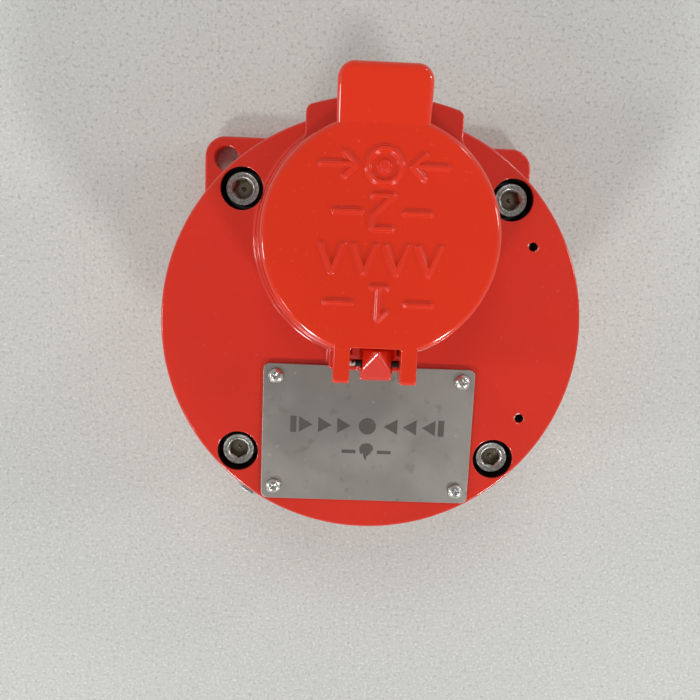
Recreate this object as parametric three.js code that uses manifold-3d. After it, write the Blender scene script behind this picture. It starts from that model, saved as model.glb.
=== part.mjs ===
// Manual call point for a fire alarm: a round cast housing on a square foot, a screwed cover with a
// button under a lift flap, and the contact block that the button works.
//
// Units are millimetres. The back lies on z = 0 with its centre at the origin, +Z points out of the
// wall through the cover and the button, and +Y points to the nameplate, which is the top when the
// call point hangs on a wall. The flap's tab and the cable entry are on the -Y side.

import * as THREE from 'three';
import { mergeVertices } from 'three/addons/utils/BufferGeometryUtils.js';
import Module from 'manifold-3d';

const wasm = await Module();
wasm.setup();

// ---------------------------------------------------------------------------------------------
// Driving dimensions

const GAP = 0.3; // clearance between pieces that rest on each other

// Rear body
const FOOT_SIDE = 129;
const FOOT_THICKNESS = 8;
const FOOT_CORNER_R = 8;
const LUG_HOLE_R = 4.75;
const LUG_HOLE_XY = 56; // two wall-screw holes on one diagonal of the foot
const BODY_R = 58;
const FLANGE_R = 65;
const FLANGE_Z = 46;
const FLANGE_RISE = 6; // height of the cone between body and flange
const BODY_TOP = 62;
const CAVITY_R = 50;
const CAVITY_FLOOR = 12;
const HUB_R = 19;
const HUB_BORE_R = 12.75;
const HUB_END = 70; // distance of the cable entry's face from the axis
const HUB_Z = 33;

// Front cover
const COVER_R = 65;
const COVER_FACE = 78;
const COVER_EDGE = 0.8;
const COVER_RECESS_R = 42;
const COVER_RECESS_Z = 68;
const SPIGOT_R = 49.6;
const SPIGOT_END = 52;
const GROOVE_R = 47.4;
const GROOVE_Z = [56, 59];
const GASKET_R = 1.2;

// Button boss, the block between it and the rim, and the well that the button sits in
const BOSS_Y = -27.66;
const BOSS_TOP = 96;
const BOSS_TOP_R = 34;
const BOSS_FOOT_R = 36.4;
const CHIN_R = 66; // the block stands a little proud of the rim
const CHIN_HALF_WIDTH = 21.5;
const CHIN_CORNER_R = 1.5;
const WELL_R = 26;
const WELL_FLOOR = 74;

// Hinge
const PIN_Y = 7.7;
const PIN_Z = 95.5;
const PIN_R = 1;
const PIN_HOLE_R = 1.3;
const LUG_HALF_WIDTH = 4.6;
const LUG_END = { y: 12.9, z: 93.4 }; // where the lug's sloping top meets its end
const LUG_RIDGE = { y: 5.4, z: 99.4, halfWidth: 1.3 };
const LEDGE_HALF_WIDTH = 13;
const LEDGE_END_Y = 11.5;
const LEDGE_TOP = 87.5;
const ARM_X = [7.05, 11.7];
const ARM_EYE_R = 5;
const ARM_CORNER_R = 2.5;
const NOTCH_GAP = 0.5; // air round the hinge arms where they dip into the boss

// Flap
const FLAP_BOTTOM = BOSS_TOP + 0.4;
const FLAP_TOP = 102;
const FLAP_R = 33.2;
const FLAP_TOP_R = 31;
const FLAP_RECESS_R = 23;
const FLAP_RECESS_Z = 98;
const SLOT_Y = 2.5;
const TAB_HALF_WIDTH = 12.6;
const TAB_CORNER_R = 4.4;
const TAB_CREASE_Y = -57.8;
const TAB_END_Y = -72.7;
const TAB_RISE = 3.4;
const TAB_EDGE_R = 2.2;
const TAB_THICKNESS = 4.6;

// Raised marks on the flap: numbers, chevrons, arrows and a target ring, in four rows
const MARK_STROKE = 1.1;
const MARK_RELIEF = 0.9;
const MARK_ROWS = { one: 17.5, chevrons: 5.5, two: -7, target: -19.2 };

// Cover screws: M6 socket-head cap screws on spring washers
const SCREW_X = 40.75;
const SCREW_Y = 40.7;
const SCREW_HEAD_R = 5;
const SCREW_HEAD = [70, 76];
const SCREW_END = 51.5;
const SCREW_R = 2.9;
const SCREW_HOLE_R = 3.3;
const SCREW_HOLE_END = 50.5;
const SCREW_SOCKET_AF = 5;
const SCREW_SOCKET_DEPTH = 3.2;
const COUNTERBORE_R = 6.35;
const COUNTERBORE_FLOOR = 68.4;
const WASHER_Z = [68.6, 69.8];

// Small tapped holes in the cover's face
const TAPPED_HOLE = { x: -48.2, y: 27, r: 1.3, depth: 6 };

// Nameplate and its round-head screws
const PLATE = { width: 66, height: 43.7, thickness: 1, y: 33.6, cornerR: 2 };
const PLATE_BOTTOM = COVER_FACE + 0.2;
const PLATE_TOP = PLATE_BOTTOM + PLATE.thickness;
const PLATE_SCREW_X = 29.1;
const PLATE_SCREW_Y = [15.6, 51.35];
const PLATE_SCREW = { headR: 2.4, headHeight: 1.4, r: 1.2, holeR: 1.5, end: 73, holeEnd: 72.5 };

// Button, rod, bush, springs
const BUTTON_R = 20;
const BUTTON_Z = [80, 90];
const ROD_R = 4;
const ROD_SPIGOT_R = 3;
const ROD_Z = [55, 80.2];
const ROD_SPIGOT_TOP = 87.4;
const ROD_GROOVE_Z = [63.7, 65.3];
const ROD_GROOVE_R = 3;
const BUSH_R = 7;
const BUSH_FLANGE_R = 10;
const BUSH_BORE_R = 4.3;
const BUSH_FLANGE_Z = [65.7, 67.7];
const CLIP = { innerR: 3.3, outerR: 6.5, z: [63.9, 65.1], opening: 4.6 };
const RETURN_SPRING = { r: 8.5, wireR: 0.6, turns: 4.5, z: [74.9, 85.6] };

// Contact block on its mounting plate
const BLOCK_Z = [22.3, 47.3];
const BLOCK_HALF_X = 16;
const BLOCK_HALF_Y = 12;
const BLOCK_FLOOR = 29;
const BLOCK_WINDOW_TOP = 43.5;
const BLOCK_WINDOW_HALF_X = 12.5;
const SHELF_HALF_X = 25.5;
const SHELF_HALF_Y = 9;
const SPRING_POCKET = { r: 4, z: 24 };
const CARRIER_TOP = ROD_Z[0] - GAP;
const CARRIER_R = 4;
const CROSSHEAD = { halfX: 4.2, halfY: 6, z: [34.6, 41.5] };
const BRIDGE = { halfX: 11.3, halfY: 2.9, z: [36.8, 37.9], buttonR: 1.8, buttonX: 9.3, buttonHeight: 0.8 };
const FIXED_CONTACT = { halfY: 2.5, z: [29.3, 30.3], x: [7, 24], rivetHeight: 0.4 };
const CONTACT_SPRING = { r: 2.9, wireR: 0.4, turns: 5, z: [24.7, 33.9] };
const TERMINAL = { x: 20.5, holeR: 1.8 };
const BLOCK_SCREW = { x: 21.5, y: 5.5, holeR: 1.6 };

// Mounting plate on four posts of the body
const MOUNT_PLATE = { halfX: 40, y: [-38, 4], z: [20, 22], r: 47 };
const POSTS = [
  { x: 33, y: -4 },
  { x: 31.5, y: -30 },
];
const POST_R = 4.5;
const POST_TOP = MOUNT_PLATE.z[0] - GAP;
const POST_HOLE_R = 2.3;
const M4_R = 2;

// Earth connections: one inside on a boss, one outside on a pad of the flange
const INNER_EARTH = { x: 28, y: 26, bossR: 5, bossTop: 15.7 };
const OUTER_EARTH = { angle: 57, z: 54, padR: 6.5, padEnd: 66.7, boltR: 2.5, holeR: 2.8, holeStart: 58 };
const EARTH_BOLT = { start: 59, head: [70, 73.5], af: 8 };
const EARTH_PLAIN_WASHER = { r: 5, z: [67, 68] };
const EARTH_SPRING_WASHER = { r: 4.6, z: [68.3, 69.7] };

// Segments round a circle
const LARGE = 48;
const MEDIUM = 28;
const SMALL = 14;

// ---------------------------------------------------------------------------------------------
// Materials

const finish = (color, roughness, metalness) =>
  new THREE.MeshStandardMaterial({ color, roughness, metalness });

const redEnamel = finish(0xc8261a, 0.28, 0.0);
const redPlastic = finish(0xb01e16, 0.35, 0.0);
const stainless = finish(0xb4b1aa, 0.35, 1.0);
const brushedPlate = finish(0x969089, 0.45, 1.0);
const zincPlated = finish(0xc4c4c0, 0.32, 1.0);
const springSteel = finish(0x8e8e8c, 0.35, 1.0);
const brass = finish(0xb8954a, 0.35, 1.0);
const blackPlastic = finish(0x1c1c1e, 0.5, 0.0);
const ivoryPlastic = finish(0xd8d2c0, 0.5, 0.0);
const rubber = finish(0x161616, 0.8, 0.0);

// ---------------------------------------------------------------------------------------------
// Shape helpers

const span = ([low, high]) => high - low;
const middle = ([low, high]) => (low + high) / 2;

// A closed mesh as a solid, its shared vertices merged and its empty triangles dropped.
function solid(geometry) {
  const bare = geometry.clone();
  bare.deleteAttribute('normal');
  bare.deleteAttribute('uv');
  const merged = mergeVertices(bare);
  const index = merged.index.array;
  const triangles = [];
  for (let i = 0; i < index.length; i += 3) {
    const [a, b, c] = [index[i], index[i + 1], index[i + 2]];
    if (a !== b && b !== c && c !== a) triangles.push(a, b, c);
  }
  const mesh = new wasm.Mesh({
    numProp: 3,
    vertProperties: new Float32Array(merged.attributes.position.array),
    triVerts: new Uint32Array(triangles),
  });
  return new wasm.Manifold(mesh);
}

// A solid's surface as three.js geometry.
function surface(body) {
  const { vertProperties, triVerts } = body.getMesh();
  const geometry = new THREE.BufferGeometry();
  geometry.setAttribute('position', new THREE.BufferAttribute(vertProperties, 3));
  geometry.setIndex(new THREE.BufferAttribute(triVerts, 1));
  geometry.computeVertexNormals();
  return geometry;
}

const join = (...geometries) => geometries.map(solid).reduce((whole, piece) => whole.add(piece));
const cut = (body, ...tools) => tools.map(solid).reduce((rest, tool) => rest.subtract(tool), body);

// A box between the given limits.
function block(x, y, z) {
  return new THREE.BoxGeometry(span(x), span(y), span(z)).translate(middle(x), middle(y), middle(z));
}

// A body turned about Z. The outline is [radius, z] points with the material on its left.
function turned(outline, segments = LARGE) {
  const points = outline.map(([r, z]) => new THREE.Vector2(r, z));
  const onAxis = outline[0][0] === 0 && outline.at(-1)[0] === 0;
  if (!onAxis) points.push(points[0].clone());
  return new THREE.LatheGeometry(points, segments).rotateX(Math.PI / 2);
}

const cylinder = (r, z, segments = SMALL) =>
  new THREE.CylinderGeometry(r, r, span(z), segments).rotateX(Math.PI / 2).translate(0, 0, middle(z));

const ring = (innerR, outerR, z, segments = MEDIUM) =>
  turned([[innerR, z[0]], [outerR, z[0]], [outerR, z[1]], [innerR, z[1]]], segments);

const hexagon = (acrossFlats, z) => cylinder(acrossFlats / Math.sqrt(3), z, 6);

// An outline in the XY plane, raised along Z.
function prism(shape, z, curveSegments = 8) {
  const options = { depth: span(z), bevelEnabled: false, curveSegments };
  return new THREE.ExtrudeGeometry(shape, options).translate(0, 0, z[0]);
}

// An outline in the YZ plane, drawn along X.
const ACROSS = new THREE.Matrix4().set(0, 0, 1, 0, 1, 0, 0, 0, 0, 1, 0, 0, 0, 0, 0, 1);
const sideways = (shape, x, curveSegments = 8) => prism(shape, x, curveSegments).applyMatrix4(ACROSS);

function roundedRectangle(x, y, r) {
  const shape = new THREE.Shape();
  shape.moveTo(x[0] + r, y[0]);
  shape.lineTo(x[1] - r, y[0]);
  shape.absarc(x[1] - r, y[0] + r, r, -Math.PI / 2, 0);
  shape.lineTo(x[1], y[1] - r);
  shape.absarc(x[1] - r, y[1] - r, r, 0, Math.PI / 2);
  shape.lineTo(x[0] + r, y[1]);
  shape.absarc(x[0] + r, y[1] - r, r, Math.PI / 2, Math.PI);
  shape.lineTo(x[0], y[0] + r);
  shape.absarc(x[0] + r, y[0] + r, r, Math.PI, 1.5 * Math.PI);
  return shape;
}

class Helix extends THREE.Curve {
  constructor(radius, turns, z) {
    super();
    Object.assign(this, { radius, turns, z });
  }

  getPoint(t) {
    const angle = 2 * Math.PI * this.turns * t;
    const height = this.z[0] + span(this.z) * t;
    return new THREE.Vector3(this.radius * Math.cos(angle), this.radius * Math.sin(angle), height);
  }
}

function coilSpring({ r, wireR, turns, z }, stepsPerTurn = 10) {
  const section = new THREE.Shape().absarc(0, 0, wireR, 0, 2 * Math.PI);
  return new THREE.ExtrudeGeometry(section, {
    steps: Math.round(turns * stepsPerTurn),
    curveSegments: 3,
    extrudePath: new Helix(r, turns, z),
  });
}

// A split spring washer: a ring with a slanted cut.
function springWasher(innerR, outerR, z) {
  const slit = block([0, outerR + 1], [-0.4, 0.4], [-span(z), span(z)]);
  slit.rotateX(Math.PI / 6).translate(0, 0, middle(z));
  return surface(cut(solid(ring(innerR, outerR, z, 20)), slit));
}

// A screw with a low turned head and a driver slot. Its head rests on z = 0.
function slottedScrew({ headR, headHeight, r, length, slotWidth = 0.8 }) {
  const body = turned([
    [0, -length], [r, -length], [r, 0], [headR, 0],
    [headR, headHeight * 0.4], [headR * 0.8, headHeight * 0.85], [0, headHeight],
  ], SMALL);
  const reach = headR + 1;
  const slot = block([-reach, reach], [-slotWidth / 2, slotWidth / 2], [headHeight * 0.5, headHeight + 1]);
  return surface(cut(solid(body), slot));
}

const model = new THREE.Group();

function add(name, geometry, material, position = [0, 0, 0], group = model) {
  const mesh = new THREE.Mesh(geometry, material);
  mesh.name = name;
  mesh.position.set(...position);
  group.add(mesh);
}

const FOUR_CORNERS = [[-1, -1], [1, -1], [1, 1], [-1, 1]];
const BOSS_AXIS = [0, BOSS_Y, 0];

// ---------------------------------------------------------------------------------------------
// Rear body: square foot, round wall with a flange, cable entry hub, earth pad and inner posts

function alongMinusY(geometry, z) {
  return geometry.rotateX(Math.PI / 2).translate(0, 0, z);
}

function towardOuterEarth(geometry) {
  geometry.rotateY(Math.PI / 2);
  geometry.rotateZ(THREE.MathUtils.degToRad(OUTER_EARTH.angle));
  return geometry.translate(0, 0, OUTER_EARTH.z);
}

function postPlaces() {
  return POSTS.flatMap(({ x, y }) => [[-x, y], [x, y]]);
}

function rearBody() {
  const half = FOOT_SIDE / 2;
  const foot = prism(
    roundedRectangle([-half, half], [-half, half], FOOT_CORNER_R), [0, FOOT_THICKNESS],
  );
  const wall = turned([
    [0, 0], [BODY_R, 0], [BODY_R, FLANGE_Z - FLANGE_RISE], [FLANGE_R, FLANGE_Z],
    [FLANGE_R, BODY_TOP], [CAVITY_R, BODY_TOP], [CAVITY_R, CAVITY_FLOOR], [0, CAVITY_FLOOR],
  ]);
  const hubStart = (CAVITY_R + BODY_R) / 2 - 3;
  const hub = alongMinusY(cylinder(HUB_R, [hubStart, HUB_END], MEDIUM), HUB_Z);
  const padZ = [OUTER_EARTH.holeStart - 3, OUTER_EARTH.padEnd];
  const pad = towardOuterEarth(cylinder(OUTER_EARTH.padR, padZ, MEDIUM));
  const bossZ = [CAVITY_FLOOR - 1, INNER_EARTH.bossTop];
  const earthBoss = cylinder(INNER_EARTH.bossR, bossZ).translate(INNER_EARTH.x, INNER_EARTH.y, 0);
  const posts = postPlaces().map(([x, y]) =>
    cylinder(POST_R, [CAVITY_FLOOR - 1, POST_TOP]).translate(x, y, 0));

  const hubBore = alongMinusY(cylinder(HUB_BORE_R, [CAVITY_R - 10, HUB_END + 1], MEDIUM), HUB_Z);
  const earthHole = towardOuterEarth(cylinder(OUTER_EARTH.holeR, [OUTER_EARTH.holeStart, HUB_END]));
  const blindHole = (x, y, top) => cylinder(POST_HOLE_R, [CAVITY_FLOOR + 0.5, top + 1]).translate(x, y, 0);
  const lugHoles = [-1, 1].map((i) =>
    cylinder(LUG_HOLE_R, [-1, FOOT_THICKNESS + 1]).translate(i * LUG_HOLE_XY, -i * LUG_HOLE_XY, 0));
  const screwHoles = FOUR_CORNERS.map(([i, j]) =>
    cylinder(SCREW_HOLE_R, [SCREW_HOLE_END, BODY_TOP + 1]).translate(i * SCREW_X, j * SCREW_Y, 0));
  const postHoles = postPlaces().map(([x, y]) => blindHole(x, y, POST_TOP));

  return surface(cut(
    join(foot, wall, hub, pad, earthBoss, ...posts),
    hubBore, earthHole, blindHole(INNER_EARTH.x, INNER_EARTH.y, INNER_EARTH.bossTop),
    ...lugHoles, ...screwHoles, ...postHoles,
  ));
}

// ---------------------------------------------------------------------------------------------
// Front cover: thick disc with a spigot, the button boss, the block at the rim and the hinge lug

// The block's outline follows the cover's rim between two rounded corners.
function chinOutline() {
  const inner = CHIN_R - CHIN_CORNER_R;
  const cornerX = CHIN_HALF_WIDTH - CHIN_CORNER_R;
  const cornerY = -Math.sqrt(inner ** 2 - cornerX ** 2);
  const rimAngle = Math.atan2(cornerY, cornerX);
  const shape = new THREE.Shape();
  shape.moveTo(-CHIN_HALF_WIDTH, BOSS_Y - BOSS_TOP_R / 2);
  shape.lineTo(-CHIN_HALF_WIDTH, cornerY);
  shape.absarc(-cornerX, cornerY, CHIN_CORNER_R, Math.PI, Math.PI - rimAngle);
  shape.absarc(0, 0, CHIN_R, -Math.PI - rimAngle, rimAngle);
  shape.absarc(cornerX, cornerY, CHIN_CORNER_R, rimAngle, 0);
  shape.lineTo(CHIN_HALF_WIDTH, BOSS_Y - BOSS_TOP_R / 2);
  return shape;
}

// The lug between the hinge arms: its top slopes to the end and its flanks lean in to a ridge.
function hingeLug() {
  const side = new THREE.Shape();
  side.moveTo(0, LEDGE_TOP - 2);
  side.lineTo(LEDGE_END_Y, LEDGE_TOP - 2);
  side.lineTo(LUG_END.y, LEDGE_TOP + 1.5);
  side.lineTo(LUG_END.y, LUG_END.z);
  side.lineTo(LUG_RIDGE.y, LUG_RIDGE.z);
  side.lineTo(LUG_RIDGE.y - 1.8, LUG_RIDGE.z - 1.5);
  side.lineTo(LUG_RIDGE.y - 1.8, BOSS_TOP);
  side.lineTo(0, BOSS_TOP - 3);
  const front = new THREE.Shape();
  front.moveTo(-LUG_HALF_WIDTH, LEDGE_TOP - 3);
  front.lineTo(LUG_HALF_WIDTH, LEDGE_TOP - 3);
  front.lineTo(LUG_HALF_WIDTH, LUG_END.z);
  front.lineTo(LUG_RIDGE.halfWidth, LUG_RIDGE.z);
  front.lineTo(-LUG_RIDGE.halfWidth, LUG_RIDGE.z);
  front.lineTo(-LUG_HALF_WIDTH, LUG_END.z);
  const reach = LUG_END.y + 1;
  const across = solid(sideways(side, [-LUG_HALF_WIDTH - 1, LUG_HALF_WIDTH + 1]));
  return surface(across.intersect(solid(prism(front, [-reach, reach]).rotateX(Math.PI / 2))));
}

function hingeNotch(x) {
  const around = NOTCH_GAP + ARM_EYE_R;
  return block(x, [PIN_Y - around, PIN_Y + around], [PIN_Z - around, BOSS_TOP + 1]);
}

function frontCover() {
  const disc = turned([
    [0, COVER_RECESS_Z], [COVER_RECESS_R, COVER_RECESS_Z], [COVER_RECESS_R, SPIGOT_END],
    [SPIGOT_R, SPIGOT_END], [SPIGOT_R, GROOVE_Z[0]], [GROOVE_R, GROOVE_Z[0]],
    [GROOVE_R, GROOVE_Z[1]], [SPIGOT_R, GROOVE_Z[1]], [SPIGOT_R, BODY_TOP + GAP],
    [COVER_R, BODY_TOP + GAP], [COVER_R, COVER_FACE - COVER_EDGE],
    [COVER_R - COVER_EDGE, COVER_FACE], [0, COVER_FACE],
  ]);
  const boss = turned([
    [0, WELL_FLOOR], [BOSS_FOOT_R, WELL_FLOOR], [BOSS_FOOT_R, COVER_FACE],
    [BOSS_TOP_R + 0.4, BOSS_TOP - 1], [BOSS_TOP_R - 0.4, BOSS_TOP], [0, BOSS_TOP],
  ]).translate(0, BOSS_Y, 0);
  const chin = prism(chinOutline(), [BODY_TOP + GAP, BOSS_TOP], 6);
  const ledge = block([-LEDGE_HALF_WIDTH, LEDGE_HALF_WIDTH], [-5, LEDGE_END_Y], [WELL_FLOOR, LEDGE_TOP]);

  const well = cylinder(WELL_R, [WELL_FLOOR, BOSS_TOP + 1], LARGE).translate(0, BOSS_Y, 0);
  const bushHole = cylinder(BUSH_R + GAP, [COVER_RECESS_Z - 1, WELL_FLOOR + 1], MEDIUM);
  bushHole.translate(0, BOSS_Y, 0);
  const notches = [hingeNotch([ARM_X[0] - NOTCH_GAP, ARM_X[1] + NOTCH_GAP]),
    hingeNotch([-ARM_X[1] - NOTCH_GAP, -ARM_X[0] + NOTCH_GAP])];
  const pinHole = cylinder(PIN_HOLE_R, [-LUG_HALF_WIDTH - 1, LUG_HALF_WIDTH + 1]);
  pinHole.rotateY(Math.PI / 2).translate(0, PIN_Y, PIN_Z);
  const screwHoles = FOUR_CORNERS.flatMap(([i, j]) => [
    cylinder(COUNTERBORE_R, [COUNTERBORE_FLOOR, BOSS_TOP + 1], 24),
    cylinder(SCREW_HOLE_R, [BODY_TOP - 1, COUNTERBORE_FLOOR + 1]),
  ].map((tool) => tool.translate(i * SCREW_X, j * SCREW_Y, 0)));
  const tappedHoles = [-1, 1].map((j) => {
    const z = [COVER_FACE - TAPPED_HOLE.depth, COVER_FACE + 1];
    return cylinder(TAPPED_HOLE.r, z, 14).translate(TAPPED_HOLE.x, j * TAPPED_HOLE.y, 0);
  });
  const plateHoles = PLATE_SCREW_Y.flatMap((y) => [-1, 1].map((i) =>
    cylinder(PLATE_SCREW.holeR, [PLATE_SCREW.holeEnd, COVER_FACE + 1], 14)
      .translate(i * PLATE_SCREW_X, y, 0)));

  return surface(cut(
    join(disc, boss, chin, ledge, hingeLug()),
    well, bushHole, ...notches, pinHole, ...screwHoles, ...tappedHoles, ...plateHoles,
  ));
}

const gasket = () => new THREE.TorusGeometry((GROOVE_R + CAVITY_R) / 2 - 0.05, GASKET_R, 6, LARGE)
  .translate(0, 0, middle(GROOVE_Z));

// ---------------------------------------------------------------------------------------------
// Flap: disc with a recess below, raised marks, finger tab and two hinge arms

function hingeArm(x) {
  const shape = new THREE.Shape();
  const endY = PIN_Y + ARM_EYE_R;
  shape.moveTo(-3, FLAP_BOTTOM);
  shape.lineTo(PIN_Y - ARM_EYE_R, FLAP_BOTTOM);
  shape.lineTo(PIN_Y - ARM_EYE_R, PIN_Z);
  shape.absarc(PIN_Y, PIN_Z, ARM_EYE_R, Math.PI, 2 * Math.PI);
  shape.lineTo(endY, FLAP_TOP - ARM_CORNER_R);
  shape.absarc(endY - ARM_CORNER_R, FLAP_TOP - ARM_CORNER_R, ARM_CORNER_R, 0, Math.PI / 2);
  shape.lineTo(-3, FLAP_TOP);
  shape.holes.push(new THREE.Path().absarc(PIN_Y, PIN_Z, PIN_HOLE_R, 0, 2 * Math.PI, true));
  return sideways(shape, x);
}

// The tab rises from the crease to a rounded end. Its plan has two rounded corners.
function fingerTab() {
  const rise = Math.atan2(TAB_RISE, TAB_CREASE_Y - TAB_END_Y);
  const side = new THREE.Shape();
  side.moveTo(TAB_CREASE_Y + 8, FLAP_BOTTOM);
  side.lineTo(TAB_CREASE_Y + 8, FLAP_TOP);
  side.lineTo(TAB_CREASE_Y, FLAP_TOP);
  const endY = TAB_END_Y + TAB_EDGE_R;
  const endTop = FLAP_TOP + TAB_RISE - TAB_EDGE_R;
  side.absarc(endY, endTop, TAB_EDGE_R, Math.PI / 2 - rise, Math.PI);
  side.absarc(endY, endTop - TAB_THICKNESS + 2 * TAB_EDGE_R, TAB_EDGE_R, Math.PI, 1.5 * Math.PI);
  side.lineTo(TAB_CREASE_Y, FLAP_BOTTOM);
  const width = [-TAB_HALF_WIDTH, TAB_HALF_WIDTH];
  const plan = roundedRectangle(width, [TAB_END_Y, TAB_CREASE_Y + 20], TAB_CORNER_R);
  const tall = prism(plan, [FLAP_BOTTOM - 1, FLAP_TOP + TAB_RISE + 1], 5);
  return surface(solid(sideways(side, width)).intersect(solid(tall)));
}

// One straight stroke of a raised mark, from one point to the other.
function stroke([x0, y0, x1, y1]) {
  const length = Math.hypot(x1 - x0, y1 - y0) + MARK_STROKE;
  const bar = new THREE.BoxGeometry(length, MARK_STROKE, MARK_RELIEF + 1);
  bar.rotateZ(Math.atan2(y1 - y0, x1 - x0));
  return bar.translate((x0 + x1) / 2, (y0 + y1) / 2, FLAP_TOP + (MARK_RELIEF - 1) / 2);
}

const ONE = [[0, -4.4, 0, 4.4], [0, 4.4, -2, 2.4], [-2, -4.4, 2, -4.4]];
const TWO = [[-2.6, 4.4, 2.6, 4.4], [2.6, 4.4, 2.6, 0.8], [2.6, 0.8, -2.6, -4.4], [-2.6, -4.4, 2.6, -4.4]];
const DASH = [[-3.4, 0, 3.4, 0]];
const CHEVRON = [[-2.9, -3.6, 0, 3.6], [0, 3.6, 2.9, -3.6]];
const ARROW = [[-4.6, 0, 4.6, 0], [1.6, 3, 4.6, 0], [1.6, -3, 4.6, 0]];
const BACK_ARROW = ARROW.map(([x0, y0, x1, y1]) => [-x0, y0, -x1, y1]);

function raisedMarks() {
  const { one, chevrons, two, target } = MARK_ROWS;
  const marks = [
    [ONE, 0, one], [DASH, -11, one], [DASH, 11, one],
    ...[-13.2, -4.4, 4.4, 13.2].map((x) => [CHEVRON, x, chevrons]),
    [TWO, 0, two], [DASH, -9.4, two], [DASH, 9.4, two],
    [ARROW, -12.2, target], [BACK_ARROW, 12.2, target],
  ];
  const strokes = marks.flatMap(([lines, x, y]) =>
    lines.map(([x0, y0, x1, y1]) => stroke([x + x0, y + y0, x + x1, y + y1])));
  const z = [FLAP_TOP - 0.5, FLAP_TOP + MARK_RELIEF];
  const targetRing = ring(5 - MARK_STROKE, 5, z, 20).translate(0, target, 0);
  const dot = cylinder(1.5, z, 12).translate(0, target, 0);
  return [...strokes, targetRing, dot].map((mark) => mark.translate(0, BOSS_Y, 0));
}

function flap() {
  const disc = turned([
    [0, FLAP_RECESS_Z], [FLAP_RECESS_R, FLAP_RECESS_Z], [FLAP_RECESS_R, FLAP_BOTTOM],
    [FLAP_R, FLAP_BOTTOM], [FLAP_R, FLAP_TOP - 3.8], [FLAP_TOP_R + 0.8, FLAP_TOP - 0.7],
    [FLAP_TOP_R, FLAP_TOP], [0, FLAP_TOP],
  ]).translate(0, BOSS_Y, 0);
  const slot = block([-ARM_X[0], ARM_X[0]], [SLOT_Y, PIN_Y], [FLAP_BOTTOM - 1, FLAP_TOP + 1]);
  const slotted = cut(join(disc, fingerTab()), slot);
  const arms = [hingeArm(ARM_X), hingeArm([-ARM_X[1], -ARM_X[0]])];
  const added = [...arms, ...raisedMarks()].map(solid);
  return surface(added.reduce((whole, piece) => whole.add(piece), slotted));
}

function hingePin() {
  const reach = ARM_X[1] - 0.2;
  return cylinder(PIN_R, [-reach, reach]).rotateY(Math.PI / 2);
}

// ---------------------------------------------------------------------------------------------
// Cover screws and nameplate

function capScrew() {
  const [seat, top] = SCREW_HEAD;
  const body = turned([
    [0, SCREW_END], [SCREW_R - 0.5, SCREW_END], [SCREW_R, SCREW_END + 0.5], [SCREW_R, seat],
    [SCREW_HEAD_R, seat], [SCREW_HEAD_R, top - 0.6], [SCREW_HEAD_R - 0.6, top], [0, top],
  ], 20);
  return surface(cut(solid(body), hexagon(SCREW_SOCKET_AF, [top - SCREW_SOCKET_DEPTH, top + 1])));
}

function nameplate() {
  const { width, height, cornerR, y } = PLATE;
  const outline = roundedRectangle([-width / 2, width / 2], [y - height / 2, y + height / 2], cornerR);
  for (const holeY of PLATE_SCREW_Y) {
    for (const side of [-1, 1]) {
      const hole = new THREE.Path();
      hole.absarc(side * PLATE_SCREW_X, holeY, PLATE_SCREW.holeR, 0, 2 * Math.PI, true);
      outline.holes.push(hole);
    }
  }
  return prism(outline, [PLATE_BOTTOM, PLATE_TOP], 6);
}

// ---------------------------------------------------------------------------------------------
// Button and its rod, bush, ring and spring, all on the boss axis

function pushButton() {
  const [bottom, top] = BUTTON_Z;
  const stemR = 6;
  const cupR = 11;
  const cupTop = top - 3.5;
  const socketR = ROD_SPIGOT_R + GAP;
  return turned([
    [0, ROD_SPIGOT_TOP + GAP], [socketR, ROD_SPIGOT_TOP + GAP], [socketR, bottom + 0.5],
    [stemR, bottom + 0.5], [stemR, cupTop], [cupR, cupTop], [cupR, bottom], [BUTTON_R - 0.8, bottom],
    [BUTTON_R, bottom + 0.8], [BUTTON_R, top - 3], [BUTTON_R - 0.9, top - 0.9],
    [BUTTON_R - 3, top], [0, top - 0.8],
  ], 32);
}

function actuatorRod() {
  const [bottom, top] = ROD_Z;
  return turned([
    [0, bottom], [ROD_R - 0.8, bottom], [ROD_R, bottom + 0.8], [ROD_R, ROD_GROOVE_Z[0]],
    [ROD_GROOVE_R, ROD_GROOVE_Z[0]], [ROD_GROOVE_R, ROD_GROOVE_Z[1]], [ROD_R, ROD_GROOVE_Z[1]],
    [ROD_R, top], [ROD_SPIGOT_R, top], [ROD_SPIGOT_R, ROD_SPIGOT_TOP], [0, ROD_SPIGOT_TOP],
  ], 16);
}

function actuatorBush() {
  const [flangeBottom, flangeTop] = BUSH_FLANGE_Z;
  return turned([
    [BUSH_BORE_R, flangeBottom], [BUSH_FLANGE_R, flangeBottom], [BUSH_FLANGE_R, flangeTop],
    [BUSH_R, flangeTop], [BUSH_R, WELL_FLOOR], [BUSH_BORE_R, WELL_FLOOR],
  ], MEDIUM);
}

function rodClip() {
  const { innerR, outerR, z, opening } = CLIP;
  const mouth = block([0, outerR + 1], [-opening / 2, opening / 2], [z[0] - 1, z[1] + 1]);
  return surface(cut(solid(ring(innerR, outerR, z, 24)), mouth));
}

// ---------------------------------------------------------------------------------------------
// Contact block: housing with a window, carrier, bridge, fixed contacts and spring

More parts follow.
